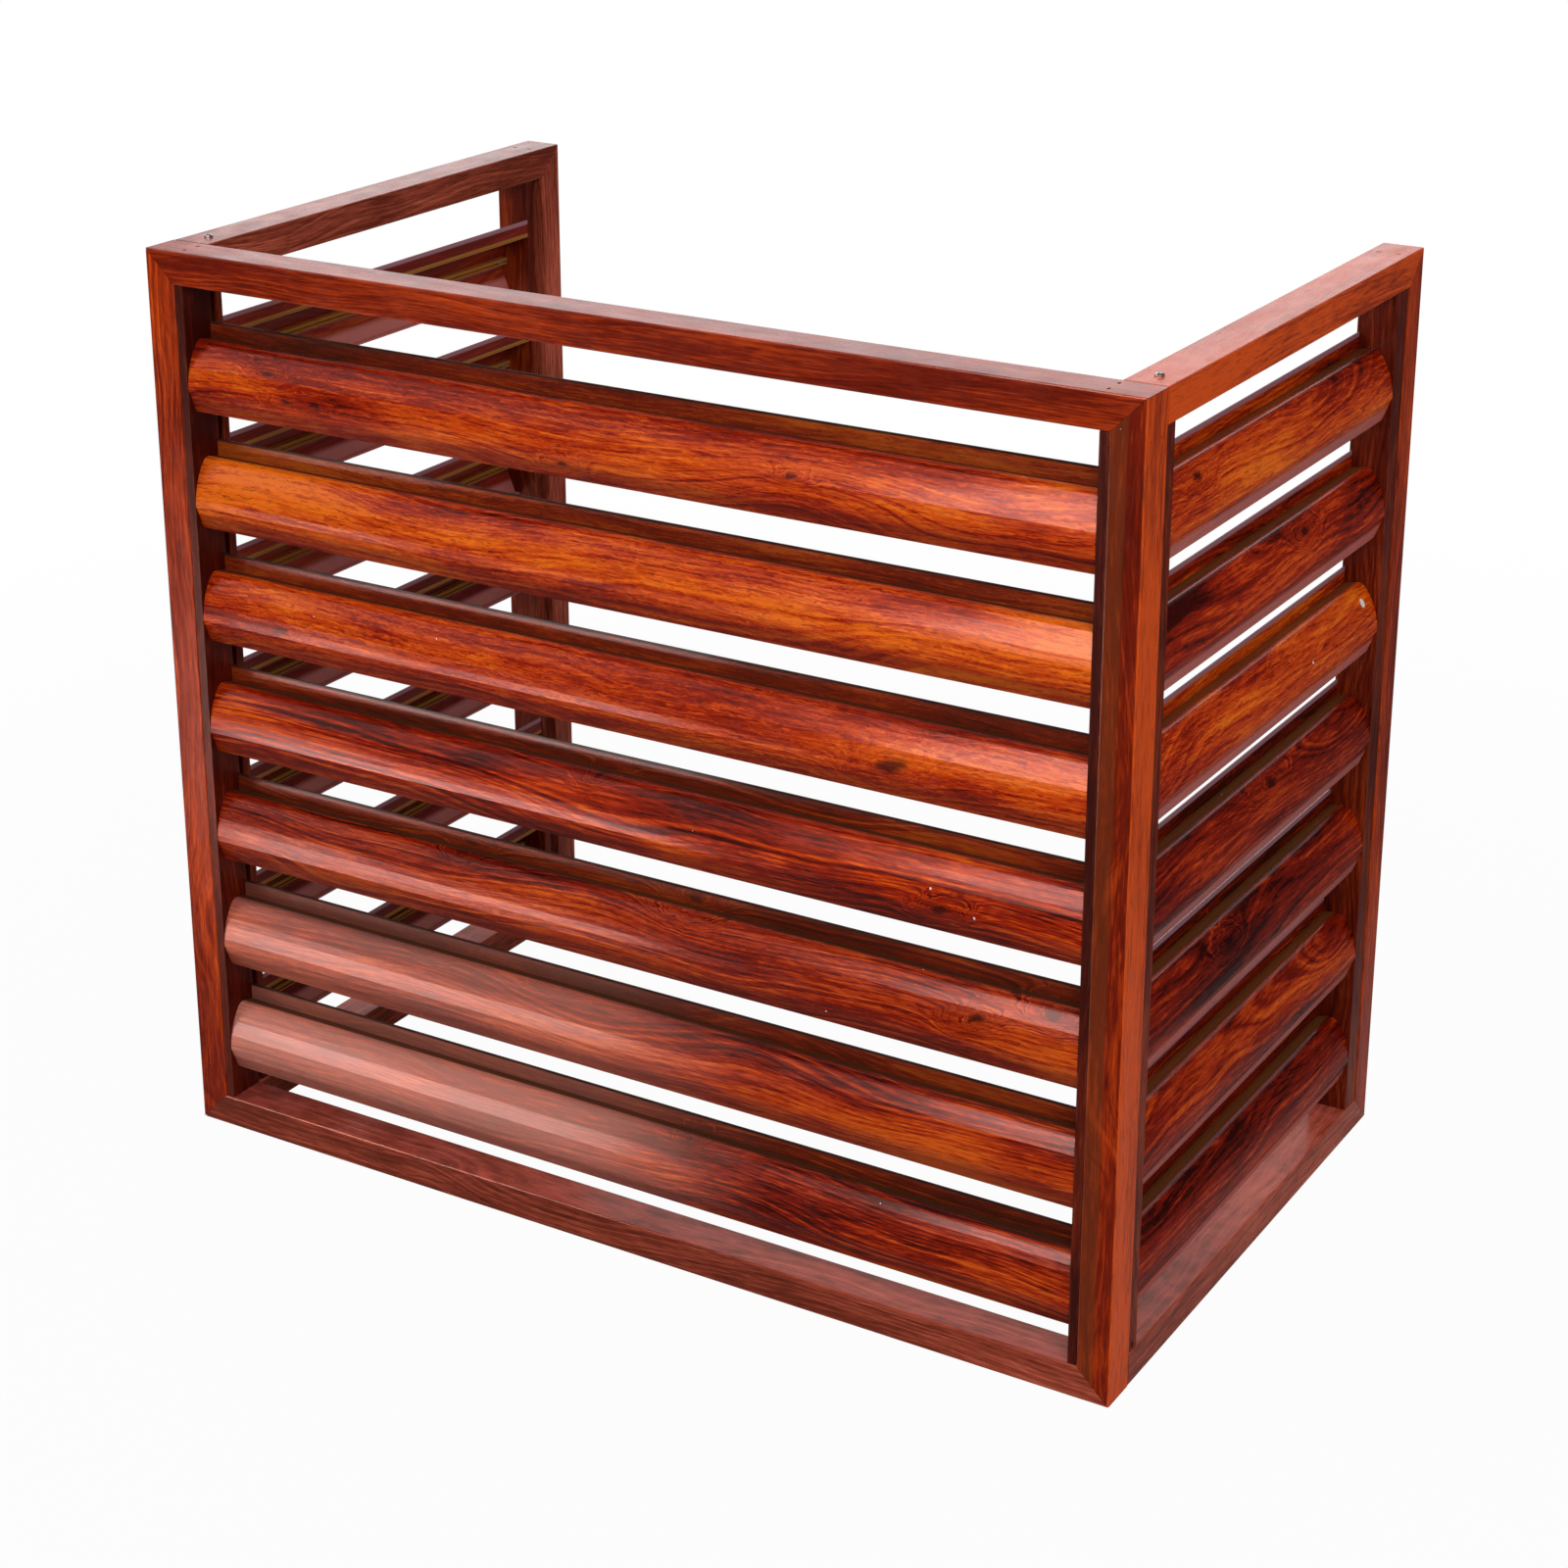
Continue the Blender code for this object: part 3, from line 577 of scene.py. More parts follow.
@dataclass(frozen=True)
class RosewoodPrint:
    """The glossy wood print on one tube, holder or slat, and the shade and sheen painted over it."""

    tone: float = 0.0
    squiggle: float = 0.5
    bands: float = 1.0
    contrast: float = 1.0
    patches: float = 1.0
    colours: Palette = SLAT_COLOURS
    low_tone: float = 0.0
    # Painted shade: the upper face of a slat is darker, where the slat above shades it.
    upper_shade_tone: float = 0.0
    end_tone: float = 0.0
    side_tone: float = 0.0
    # Painted sheen: a pale pink haze over the left part of the lowest front slats.
    painted_sheen: float = 0.0
    olive_half: float = 0.0
    side_skin: Span = (0.0012, 0.0006)
    low_span: Span = (0.05, -0.40)
    upper_shade_span: Span = (0.10, 0.55)
    end_span: Span = (0.20, 0.34)
    painted_sheen_span: Span = (0.20, -0.02)
    painted_sheen_swing: float = 0.10
    olive_span: Span = (0.0012, -0.0012)
    knots: tuple[Knot, ...] = ()
    chips: tuple[Chip, ...] = ()
    run: GrainRun = GrainRun.UPRIGHT
    seed: float = 0.0
    edges: SlatEdges | None = None
    outward: float = -1.0
    rub_width: float = 0.0022
    rub_amount: float = 0.35
    scratch_amount: float = 0.22
    # Dust on what faces up, in a pink that also paints the sheen of the top faces.
    dust_and_sheen: float = 0.04
    roughness: float = 0.27
    dull_swing: float = 0.24
    bare_roughness: float = 0.25
    matt_roughness: float = 0.55
    coat: float = 0.06
    coat_roughness: float = 0.12
    gloss_level: float = 0.10
    gloss_tint: Colour = (1.0, 0.50, 0.40)
    relief_strength: float = 0.12
    relief_depth: float = 0.0004
    bare_colour: Colour = (0.80, 0.76, 0.72)
    rubbed_colour: Colour = (0.52, 0.13, 0.06)
    painted_sheen_colour: Colour = (0.90, 0.39, 0.30)
    olive_colour: Colour = (0.150, 0.040, 0.010)
    dust_and_sheen_colour: Colour = (0.88, 0.16, 0.13)

    def material(self, name: str, low: Vector, high: Vector) -> Material:
        """Builds the material of one piece.

        Args:
            name: The material's name.
            low: The piece's lowest corner.
            high: The piece's highest corner.

        Returns:
            The material.
        """
        made, net, shader = new_material(name)
        centre, half = (low + high) / 2, (high - low) / 2
        world_place = net.node("ShaderNodeTexCoord").outputs["Object"]
        parts = net.split(net.vector("SUBTRACT", world_place, tuple(centre)))
        grain = net.join(*self.run.order(parts))
        lift, heart = self.wire_knots(net, grain, self.run.order(centre))
        wood = net.group(
            "rosewood_print", Place=grain, Lift=lift, Heart=heart, Seed=self.seed, Squiggle=self.squiggle,
            Bands=self.bands, Patches=self.patches, Tone=self.wire_tone(net, parts, half),
            Contrast=self.contrast, Deep=self.colours.deep, Red=self.colours.red,
            Orange=self.colours.orange, Amber=self.colours.amber,
        )
        colour, matt = self.wire_shades(net, grain, self.run.order(half), wood["Color"])
        rub = net.group(
            "edge_rub", Place=grain, Half=tuple(self.run.order(half)), Width=self.rub_width,
            Amount=self.rub_amount, Seed=self.seed,
        )
        marks = net.group("nicks_and_scratches", Place=grain, Seed=self.seed)
        bare = marks["Nicks"]
        for chip in self.chips:
            spot = net.group("paint_chip", Place=world_place, Centre=chip.place, Radius=chip.radius)
            bare = net.most(bare, spot["Mask"])
        # Dust, and the painted pink sheen of what faces up.
        dust_and_sheen = net.group("dust_and_top_sheen", Place=world_place, Amount=self.dust_and_sheen)
        wear_dust_and_sheen = (
            (rub["Mask"], self.rubbed_colour),
            (net.times(marks["Scratches"], self.scratch_amount), self.rubbed_colour),
            (bare, self.bare_colour),
            (dust_and_sheen["Mask"], self.dust_and_sheen_colour),
        )
        for mask, paint in wear_dust_and_sheen:
            colour = net.mix(mask, colour, paint)
        rough = net.plus(
            net.swing(wood["Dullness"], self.dull_swing), self.roughness,
            net.times(bare, self.bare_roughness), net.times(matt, self.matt_roughness),
        )
        relief = net.minus(wood["Relief"], bare)
        net.fill(
            shader, Base_Color=colour, Roughness=rough, Specular_IOR_Level=self.gloss_level,
            Specular_Tint=self.gloss_tint, Coat_Weight=self.coat, Coat_Roughness=self.coat_roughness,
            Normal=net.bump(relief, self.relief_strength, self.relief_depth),
        )
        return made

    def wire_tone(self, net: Wiring, parts: list[Socket], half: Vector) -> Source:
        """Makes the print lighter or darker in some parts of the piece; a slat's darker upper face is painted
        shade.

        Args:
            net: The material's wiring.
            parts: The place from the piece's middle.
            half: Half the piece's size.

        Returns:
            The tone.
        """
        tone: Source = self.tone
        shifts = (
            (self.side_tone, parts[0], [half.x - depth for depth in self.side_skin]),
            (self.low_tone, parts[2], [half.z * share for share in self.low_span]),
            # The upper shade tone paints the shade on a slat's upper face.
            (self.upper_shade_tone, parts[2], [half.z * share for share in self.upper_shade_span]),
            (self.end_tone, parts[0], self.end_span),
        )
        for amount, where, span in shifts:
            if amount:
                tone = net.plus(tone, net.times(net.ease(where, *span), amount))
        return tone

    def wire_shades(
        self, net: Wiring, grain: Source, half: list[float], colour: Source
    ) -> tuple[Source, Source]:
        """Puts the painted sheen of the lowest front slats, the painted shade, sheen and highlights of a
        slat's edges, and the olive half over the print.

        Args:
            net: The material's wiring.
            grain: The place along and across the grain.
            half: Half the piece's size, in the order of the grain.
            colour: The print's colour.

        Returns:
            The shaded colour, and the mask of what has no gloss.
        """
        matt: Source = 0.0
        along, across, up = net.split(grain)
        # Painted sheen over the left part of the lowest front slats, fading to the right.
        if self.painted_sheen:
            cloud = net.noise(grain, (7, 30, 30))
            fade = net.ease(net.plus(along, net.times(cloud, self.painted_sheen_swing)), *self.painted_sheen_span)
            colour = net.mix(net.times(fade, self.painted_sheen), colour, self.painted_sheen_colour)
        if self.edges:
            height = net.plus(up, half[2])
            depth = net.minus(half[1], net.times(across, self.outward))
            normal = net.split(net.node("ShaderNodeNewGeometry").outputs["Normal"])
            inward = net.times(self.run.order(normal)[1], -self.outward)
            colour, matt = self.edges.shade(net, height, depth, inward, colour)
        if self.olive_half:
            left = net.ease(across, *self.olive_span)
            colour = net.mix(net.times(left, self.olive_half), colour, self.olive_colour)
        return colour, matt

    def wire_knots(self, net: Wiring, grain: Source, middle: list[float]) -> tuple[Source, Source]:
        """Adds up the knots' rings and hearts.

        Args:
            net: The material's wiring.
            grain: The place along and across the grain.
            middle: The middle of the piece, in the order of the grain.

        Returns:
            The lift of the grain's level, and the mask of the hearts.
        """
        lift: Source = 0.0
        heart: Source = 0.0
        for knot in self.knots:
            made = net.group(
                "knot_swirl", Place=grain, Along=knot.along - middle[0], Height=knot.height - middle[2],
                Size=knot.size, Slant=knot.slant,
            )
            lift = net.plus(lift, made["Lift"])
            heart = net.most(heart, made["Heart"])
        return lift, heart


# The tubes' tops get dust and a strong painted pink sheen.
TUBE_PRINT = RosewoodPrint(
    squiggle=0.1, bands=1.1, contrast=0.78, patches=0.9, colours=TUBE_COLOURS, rub_amount=0.25, dust_and_sheen=0.36
)
DULL_PRINT = replace(TUBE_PRINT, colours=DULL_COLOURS)
HOLDER_PRINT = RosewoodPrint(
    squiggle=0.15, contrast=0.8, colours=BACK_COLOURS, rub_amount=0.1, roughness=0.38
)
SLAT_PRINT = RosewoodPrint(rub_amount=0.12, dust_and_sheen=0.02, roughness=0.26)
RUBY_PRINT = replace(SLAT_PRINT, colours=RUBY_COLOURS)


@dataclass(frozen=True)
class BareMetal:
    """Plated screws and cast keys and blocks."""

    seed: float
    light: Colour
    dull: Colour
    scale: float = 1.0
    relief: float = 0.15
    relief_depth: float = 0.0002
    nick_density: float = 90.0
    nick_size: float = 0.0006
    nick_shade: float = 0.6
    grime: Colour = (0.12, 0.10, 0.09)

    def material(self, name: str) -> Material:
        """Builds the material.

        Args:
            name: The material's name.

        Returns:
            The material.
        """
        made, net, shader = new_material(name)
        place = net.node("ShaderNodeTexCoord").outputs["Object"]
        skin = net.group(
            "metal_skin", Place=place, Seed=self.seed, Scale=self.scale, Light=self.light, Dull=self.dull
        )
        marks = net.group(
            "nicks_and_scratches", Place=place, Seed=self.seed, Density=self.nick_density, Size=self.nick_size
        )
        colour = net.mix(net.times(marks["Nicks"], self.nick_shade), skin["Color"], self.grime)
        normal = net.bump(skin["Relief"], self.relief, self.relief_depth)
        net.fill(shader, Base_Color=colour, Roughness=skin["Roughness"], Metallic=1.0, Normal=normal)
        return made


PLATED_STEEL = BareMetal(seed=3.1, light=(0.72, 0.72, 0.73), dull=(0.42, 0.41, 0.40), scale=2.0)
CAST_ALUMINIUM = BareMetal(seed=5.7, light=(0.56, 0.57, 0.59), dull=(0.36, 0.36, 0.37), relief=0.35)


# Pieces


def add_object(name: str, data: bpy.types.ID) -> bpy.types.Object:
    """Adds an object to the scene.

    Args:
        name: Its name.
        data: Its mesh, lamp or camera.

    Returns:
        The object.
    """
    made = bpy.data.objects.new(name, data)
    bpy.context.scene.collection.objects.link(made)
    return made


def dress(node: str, material: Material) -> None:
    """Gives a CAD node its material.

    Args:
        node: The node's name.
        material: Its material.
    """
    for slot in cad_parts[node].material_slots:
        slot.material = material
    LOG.info("dressed %s", node)


def dress_print(node: str, finish: RosewoodPrint) -> None:
    """Gives a CAD node a wood print of its own.

    Args:
        node: The node's name.
        finish: How its print looks.
    """
    low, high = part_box(node)
    dress(node, finish.material(f"{node}_print", low, high))


@dataclass(frozen=True)
class SlatScrews:
    """The self-cutting screws that hold the slats' ends to one holder."""

    shank_radius: float = 0.0016
    thread_radius: float = 0.00205
    shank_length: float = 0.0155
    thread_pitch: float = 0.0014
    point_length: float = 0.003
    point_share: float = 0.12
    head_radius: float = 0.0036
    head_height: float = 0.0019
    rim_share: float = 0.35
    flat_radius: float = 0.0027
    cross_reach: float = 0.0019
    cross_half_width: float = 0.00045
    cross_depth: float = 0.0011
    floor_share: float = 0.72
    sharp_angle: float = 40.0
    sides: int = 12
    steps_per_turn: int = 3
    head_steps: int = 4

    def mesh(self, name: str, seats: list[Matrix]) -> bpy.types.Mesh:
        """Builds one screw at each seat, as one mesh.

        Args:
            name: The mesh's name.
            seats: Where each screw's head sits. Its shank runs down the seat's Z axis.

        Returns:
            The mesh.
        """
        work = bmesh.new()
        for seat in seats:
            made = self.add_shank(work) + self.add_head(work)
            bmesh.ops.transform(work, matrix=seat, verts=made)
        bmesh.ops.recalc_face_normals(work, faces=work.faces)
        mesh = bpy.data.meshes.new(name)
        work.to_mesh(mesh)
        work.free()
        mesh.shade_smooth()
        mesh.set_sharp_from_angle(angle=math.radians(self.sharp_angle))
        return mesh

    def ring(self, work: bmesh.types.BMesh, height: float, radii: list[float]) -> Points:
        """Adds a ring of points round the screw's axis, one for each radius."""
        turns = [(reach, 2 * math.pi * index / self.sides) for index, reach in enumerate(radii)]
        return [work.verts.new((r * math.cos(a), r * math.sin(a), height)) for r, a in turns]

    def wrap(self, work: bmesh.types.BMesh, rings: list[Points]) -> None:
        """Joins each ring to the next with a band of faces.

        Args:
            work: The mesh that is built.
            rings: The rings, from the top down.
        """
        for upper, lower in zip(rings, rings[1:]):
            for index in range(self.sides):
                after = (index + 1) % self.sides
                work.faces.new((upper[index], lower[index], lower[after], upper[after]))

    def add_shank(self, work: bmesh.types.BMesh) -> Points:
        """Adds a shank with one helical thread and a point.

        Args:
            work: The mesh that is built.

        Returns:
            The shank's points.
        """
        rows = round(self.shank_length / self.thread_pitch * self.steps_per_turn)
        rings = []
        for row in range(rows + 1):
            depth = self.shank_length * row / rows
            left = self.shank_length - depth
            taper = min(1.0, self.point_share + (1 - self.point_share) * left / self.point_length)
            radii = []
            for index in range(self.sides):
                phase = (depth / self.thread_pitch - index / self.sides) % 1.0
                crest = max(0.0, 1.0 - abs(phase - 0.5) * 4)
                radii.append((self.shank_radius + (self.thread_radius - self.shank_radius) * crest) * taper)
            rings.append(self.ring(work, -depth, radii))
        self.wrap(work, rings)
        work.faces.new(rings[0])
        work.faces.new(rings[-1][::-1])
        return [point for ring in rings for point in ring]

    def add_head(self, work: bmesh.types.BMesh) -> Points:
        """Adds a pan head with a cross in its top.

        Args:
            work: The mesh that is built.

        Returns:
            The head's points.
        """
        rings = [self.ring(work, 0.0, [self.head_radius] * self.sides)]
        for step in range(self.head_steps + 1):
            angle = math.pi / 2 * step / self.head_steps
            radius = self.flat_radius + (self.head_radius - self.flat_radius) * math.cos(angle)
            height = self.head_height * (self.rim_share + (1 - self.rim_share) * math.sin(angle))
            rings.append(self.ring(work, height, [radius] * self.sides))
        self.wrap(work, rings[::-1])
        work.faces.new(rings[0][::-1])
        rim = rings[-1]
        cross = self.cross(work, 1.0, self.head_height)
        floor = self.cross(work, self.floor_share, self.head_height - self.cross_depth)
        count = len(cross)
        edges = [work.edges.new((cross[i], cross[(i + 1) % count])) for i in range(count)]
        edges += [work.edges.get((rim[i], rim[(i + 1) % self.sides])) for i in range(self.sides)]
        bmesh.ops.triangle_fill(work, use_beauty=True, use_dissolve=False, edges=edges, normal=(0, 0, 1))
        for index in range(count):
            after = (index + 1) % count
            work.faces.new((cross[index], cross[after], floor[after], floor[index]))
        work.faces.new(floor)
        return [point for ring in rings for point in ring] + cross + floor

    def cross(self, work: bmesh.types.BMesh, share: float, height: float) -> Points:
        """Adds the twelve corners of a cross.

        Args:
            work: The mesh that is built.
            share: How much of its full size it has.
            height: The cross's height.

        Returns:
            The corners, in order.
        """
        reach, half = self.cross_reach * share, self.cross_half_width * share
        made = []
        for quarter in range(4):
            turn = Matrix.Rotation(quarter * math.pi / 2, 2)
            for corner in ((reach, -half), (reach, half), (half, half)):
                made.append(work.verts.new((*(turn @ Vector(corner)), height)))
        return made


Tubes = tuple[tuple[str, RosewoodPrint], ...]
Holders = tuple[tuple[str, float], ...]
Slats = tuple[RosewoodPrint, ...]


@dataclass(frozen=True)
class SlatPanel:
    """What the three panels share: tubes, holders, slats and the screws at the slats' ends."""

    name: str
    run: GrainRun
    outward: float
    outer_face: float
    seed: float
    tubes: Tubes
    holders: Holders
    slats: Slats
    edges: SlatEdges
    upper_shade_tone: float
    holder_tone_and_shade: float
    first_chin: float = 0.6640
    slat_pitch: float = 0.10125
    port_places: tuple[Span, ...] = ((0.00604, 0.02907), (0.02286, 0.05478))
    holder_wall: float = 0.0015
    tube_seed_step: float = 1.37
    holder_seed: float = 4.1
    holder_seed_step: float = 0.83
    slat_seed: float = 7.3
    slat_seed_step: float = 2.11

    def dress_tubes(self) -> None:
        """Gives each tube its print, with the grain along it."""
        for index, (title, look) in enumerate(self.tubes):
            run = GrainRun.UPRIGHT if title.endswith("stile") else self.run
            finish = replace(look, run=run, seed=self.seed + index * self.tube_seed_step)
            dress_print(f"{self.name}_{title}", finish)

    def dress_holders(self) -> None:
        """Gives each holder its darker print; the front holders are darkened further as painted shade."""
        for index, (title, _) in enumerate(self.holders):
            seed = self.seed + self.holder_seed + index * self.holder_seed_step
            dress_print(f"{self.name}_{title}", replace(HOLDER_PRINT, tone=self.holder_tone_and_shade, seed=seed))

    def dress_slats(self) -> None:
        """Gives each slat a print of its own, with its panel's painted shade and sheen."""
        for index, look in enumerate(self.slats):
            seed = self.seed + self.slat_seed + index * self.slat_seed_step
            finish = replace(
                look, run=self.run, seed=seed, edges=self.edges, outward=self.outward,
                upper_shade_tone=self.upper_shade_tone,
            )
            dress_print(f"{self.name}_slat_{index + 1}", finish)

    def seat(self, web: float, depth: float, height: float) -> Matrix:
        """Where a screw's head sits on the channel side of a holder's web.

        Args:
            web: The web's face towards the slats, along the panel.
            depth: How far behind the panel's outer face.
            height: The height.

        Returns:
            The seat. Its Z axis points away from the slats.
        """
        away = math.copysign(1.0, web)
        across = self.outer_face - self.outward * depth
        place = Vector(self.run.order((web + away * self.holder_wall, across, height)))
        axis = Vector(self.run.order((away, 0.0, 0.0)))
        return Matrix.Translation(place) @ axis.to_track_quat("Z", "Y").to_matrix().to_4x4()

    def add_slat_screws(self, screws: SlatScrews, material: Material) -> None:
        """Adds the screws of each holder as one piece.

        Args:
            screws: The screw's sizes.
            material: Its finish.
        """
        for title, web in self.holders:
            seats = [
                self.seat(web, depth, self.first_chin - index * self.slat_pitch + height)
                for index in range(len(self.slats))
                for depth, height in self.port_places
            ]
            name = f"{self.name}_{title}_slat_screws"
            mesh = screws.mesh(name, seats)
            mesh.materials.append(material)
            piece = add_object(name, mesh)
            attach(piece, BODY)
            LOG.info("added %s, %d screws", name, len(seats))

    def build(self, screws: SlatScrews, steel: Material) -> None:
        """Dresses the panel's nodes and adds its screws.

        Args:
            screws: The slat screws' sizes.
            steel: The screws' finish.
        """
        self.dress_tubes()
        self.dress_holders()
        self.dress_slats()
        self.add_slat_screws(screws, steel)


FRONT_TUBES = (
    ("top_rail", replace(TUBE_PRINT, tone=0.02)),
    ("bottom_rail", replace(DULL_PRINT, tone=-0.02, chips=(Chip((-0.4495, -0.2695, 0.0012), 0.0028),))),
    ("left_stile", replace(TUBE_PRINT, tone=0.05, chips=(Chip((-0.4498, -0.2692, 0.7985), 0.0016),))),
    ("right_stile", replace(TUBE_PRINT, tone=-0.10, side_tone=0.80, olive_half=0.45)),
)
FRONT_SLATS = (
    replace(
        SLAT_PRINT, tone=0.12, squiggle=0.8, low_tone=-0.14, end_tone=0.30,
        knots=(
            Knot(-0.3324, 0.7077, 0.0034), Knot(-0.3098, 0.6879, 0.0036), Knot(-0.2805, 0.6898, 0.0026),
            Knot(-0.0416, 0.6768, 0.0034), Knot(0.1650, 0.7000, 0.0026),
        ),
    ),
    replace(SLAT_PRINT, tone=0.56, squiggle=1.0, bands=0.9, low_tone=-0.16, end_tone=-0.04),
    replace(
        SLAT_PRINT, tone=0.20, squiggle=1.0, bands=0.8, low_tone=-0.18, end_tone=0.16,
        knots=(Knot(0.2526, 0.4881, 0.0074, 0.25), Knot(-0.3307, 0.4873, 0.0046)),
        chips=(Chip((-0.2972, -0.2641, 0.5053), 0.0009), Chip((-0.1714, -0.2628, 0.5081), 0.0009)),
    ),
    replace(
        SLAT_PRINT, tone=0.12, squiggle=0.3, bands=1.5, low_tone=-0.10, end_tone=0.14,
        knots=(Knot(0.2958, 0.3806, 0.0044, 0.2), Knot(-0.0191, 0.4186, 0.0030, 0.3)),
        chips=(Chip((0.2874, -0.2669, 0.3959), 0.0010), Chip((0.3253, -0.2690, 0.3817), 0.0012)),
    ),
    replace(
        RUBY_PRINT, tone=0.14, squiggle=0.6, bands=1.5, low_tone=-0.06,
        knots=(
            Knot(0.0588, 0.3230, 0.0050), Knot(0.3271, 0.2975, 0.0042, 0.3), Knot(0.3858, 0.3127, 0.0040),
            Knot(-0.1610, 0.3214, 0.0036),
        ),
        chips=(Chip((0.1965, -0.2654, 0.2700), 0.0010), Chip((0.2730, -0.2503, 0.3189), 0.0008)),
    ),
    # The two lowest slats get a painted sheen on their left parts.
    replace(
        RUBY_PRINT, tone=0.20, squiggle=0.3, bands=1.4, contrast=1.1, end_tone=0.42, painted_sheen=0.24,
        knots=(Knot(-0.0711, 0.2240, 0.0040), Knot(-0.1968, 0.2200, 0.0028)),
    ),
    replace(
        RUBY_PRINT, squiggle=0.3, bands=1.3, contrast=1.25, painted_sheen=0.42,
        knots=(Knot(-0.0575, 0.1401, 0.0022), Knot(0.0614, 0.1141, 0.0022)),
    ),
)


@dataclass(frozen=True)
class FrontPanel(SlatPanel):
    """The full-width panel at the front."""

    name: str = "front"
    run: GrainRun = GrainRun.ALONG_FRONT
    outward: float = -1.0
    outer_face: float = -0.27
    seed: float = 11.0
    tubes: Tubes = FRONT_TUBES
    holders: Holders = (("left_holder", -0.414), ("right_holder", 0.414))
    slats: Slats = FRONT_SLATS
    edges: SlatEdges = SlatEdges()
    # Painted shade: each slat's upper face is darker.
    upper_shade_tone: float = -0.24
    # Painted shade: the front holders are darkened where the stiles shade them.
    holder_tone_and_shade: float = -0.55


RIGHT_TUBES = (
    ("top_rail", replace(TUBE_PRINT, tone=0.64)),
    ("bottom_rail", replace(DULL_PRINT, tone=0.22)),
    ("rear_stile", replace(TUBE_PRINT, tone=0.18)),
)
LEFT_TUBES = (
    ("top_rail", DULL_PRINT),
    ("bottom_rail", replace(DULL_PRINT, tone=-0.02)),
    ("rear_stile", replace(DULL_PRINT, tone=0.26)),
)


def side_slats(chips: tuple[Chip, ...] = ()) -> Slats:
    """The prints of a side panel's slats.

    Args:
        chips: Chips on the third slat.

    Returns:
        One print for each slat.
    """
    calm_slat = replace(SLAT_PRINT, bands=1.3, contrast=0.90)
    calm_ruby = replace(RUBY_PRINT, bands=1.3, contrast=0.90)
    return (
        replace(calm_slat, tone=0.03, squiggle=0.6, low_tone=0.16, knots=(Knot(-0.1569, 0.7140, 0.004),)),
        replace(calm_slat, tone=-0.20, contrast=0.85, low_tone=0.14, knots=(Knot(0.06, 0.612, 0.004),)),
        replace(calm_slat, tone=0.32, squiggle=0.8, bands=1.1, low_tone=-0.10, chips=chips),
        replace(calm_ruby, tone=-0.30, bands=1.4, knots=(Knot(0.02, 0.412, 0.005),)),
        replace(calm_ruby, tone=-0.20, squiggle=0.6, bands=1.4, knots=(Knot(-0.0561, 0.305, 0.004),)),
        replace(calm_ruby, tone=-0.16, low_tone=-0.08),
        replace(calm_ruby, tone=-0.10, squiggle=0.6, low_tone=-0.08),
    )


# The side slats get a mauve painted sheen on the lip's top edge and a painted pink reflection on the chin.
SIDE_EDGES = SlatEdges(
    lip_shade=0.1, edge_rise=(0.0672, 0.0686), edge_shade_and_sheen_colour=(0.340, 0.160, 0.190), shelf_shade=0.45,
    chin_shade_and_sheen=0.75, chin_shade_and_sheen_colour=(0.600, 0.200, 0.180),
)
RIGHT_CHIPS = (Chip((0.4417, 0.2008, 0.5102), 0.0044), Chip((0.4471, 0.0806, 0.4965), 0.0018))


@dataclass(frozen=True)
class SidePanel(SlatPanel):
    """A panel at one side, which butts against the back of the front panel."""

    name: str = "right"
    run: GrainRun = GrainRun.ALONG_SIDE
    outward: float = 1.0
    outer_face: float = 0.45
    seed: float = 31.0
    tubes: Tubes = RIGHT_TUBES
    holders: Holders = (("front_holder", -0.2197), ("rear_holder", 0.220))
    slats: Slats = side_slats(RIGHT_CHIPS)
    edges: SlatEdges = SIDE_EDGES
    # Painted shade: each slat's upper face is darker.
    upper_shade_tone: float = -0.12
    holder_tone_and_shade: float = -0.08


LEFT_PANEL = SidePanel(
    name="left", outward=-1.0, outer_face=-0.45, seed=53.0, tubes=LEFT_TUBES, slats=side_slats()
)


@dataclass(frozen=True)
class Hardware:
    """The keys, blocks and screws of the corners."""

    cast_endings: tuple[str, ...] = ("_key", "_block")
    steel_endings: tuple[str, ...] = ("_lock_screw", "_anchor_screw")

    def build(self, cast: Material, steel: Material) -> None:
        """Dresses each piece.

        Args:
            cast: The finish of the keys and blocks.
            steel: The finish of the screws.
        """
        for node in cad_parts:
            if node.endswith(self.cast_endings):
                dress(node, cast)
            elif node.endswith(self.steel_endings):
                dress(node, steel)


# Studio


@dataclass(frozen=True)
class Softbox:
    """A soft rectangular lamp."""

    name: str
    place: Place
    target: Place
    width: float
    height: float
    radiance: float
    only_sheen: bool = False

    def add(self) -> None:
        """Adds the lamp to the scene."""
        light = bpy.data.lights.new(self.name, "AREA")
        light.shape = "RECTANGLE"
        light.size = self.width
        light.size_y = self.height
        light.energy = self.radiance * math.pi * self.width * self.height
        lamp = add_object(self.name, light)
        lamp.location = self.place
        towards = Vector(self.target) - Vector(self.place)
        lamp.rotation_euler = towards.to_track_quat("-Z", "Y").to_euler()
        lamp.visible_camera = False
        lamp.visible_diffuse = not self.only_sheen
        LOG.info("added lamp %s", self.name)


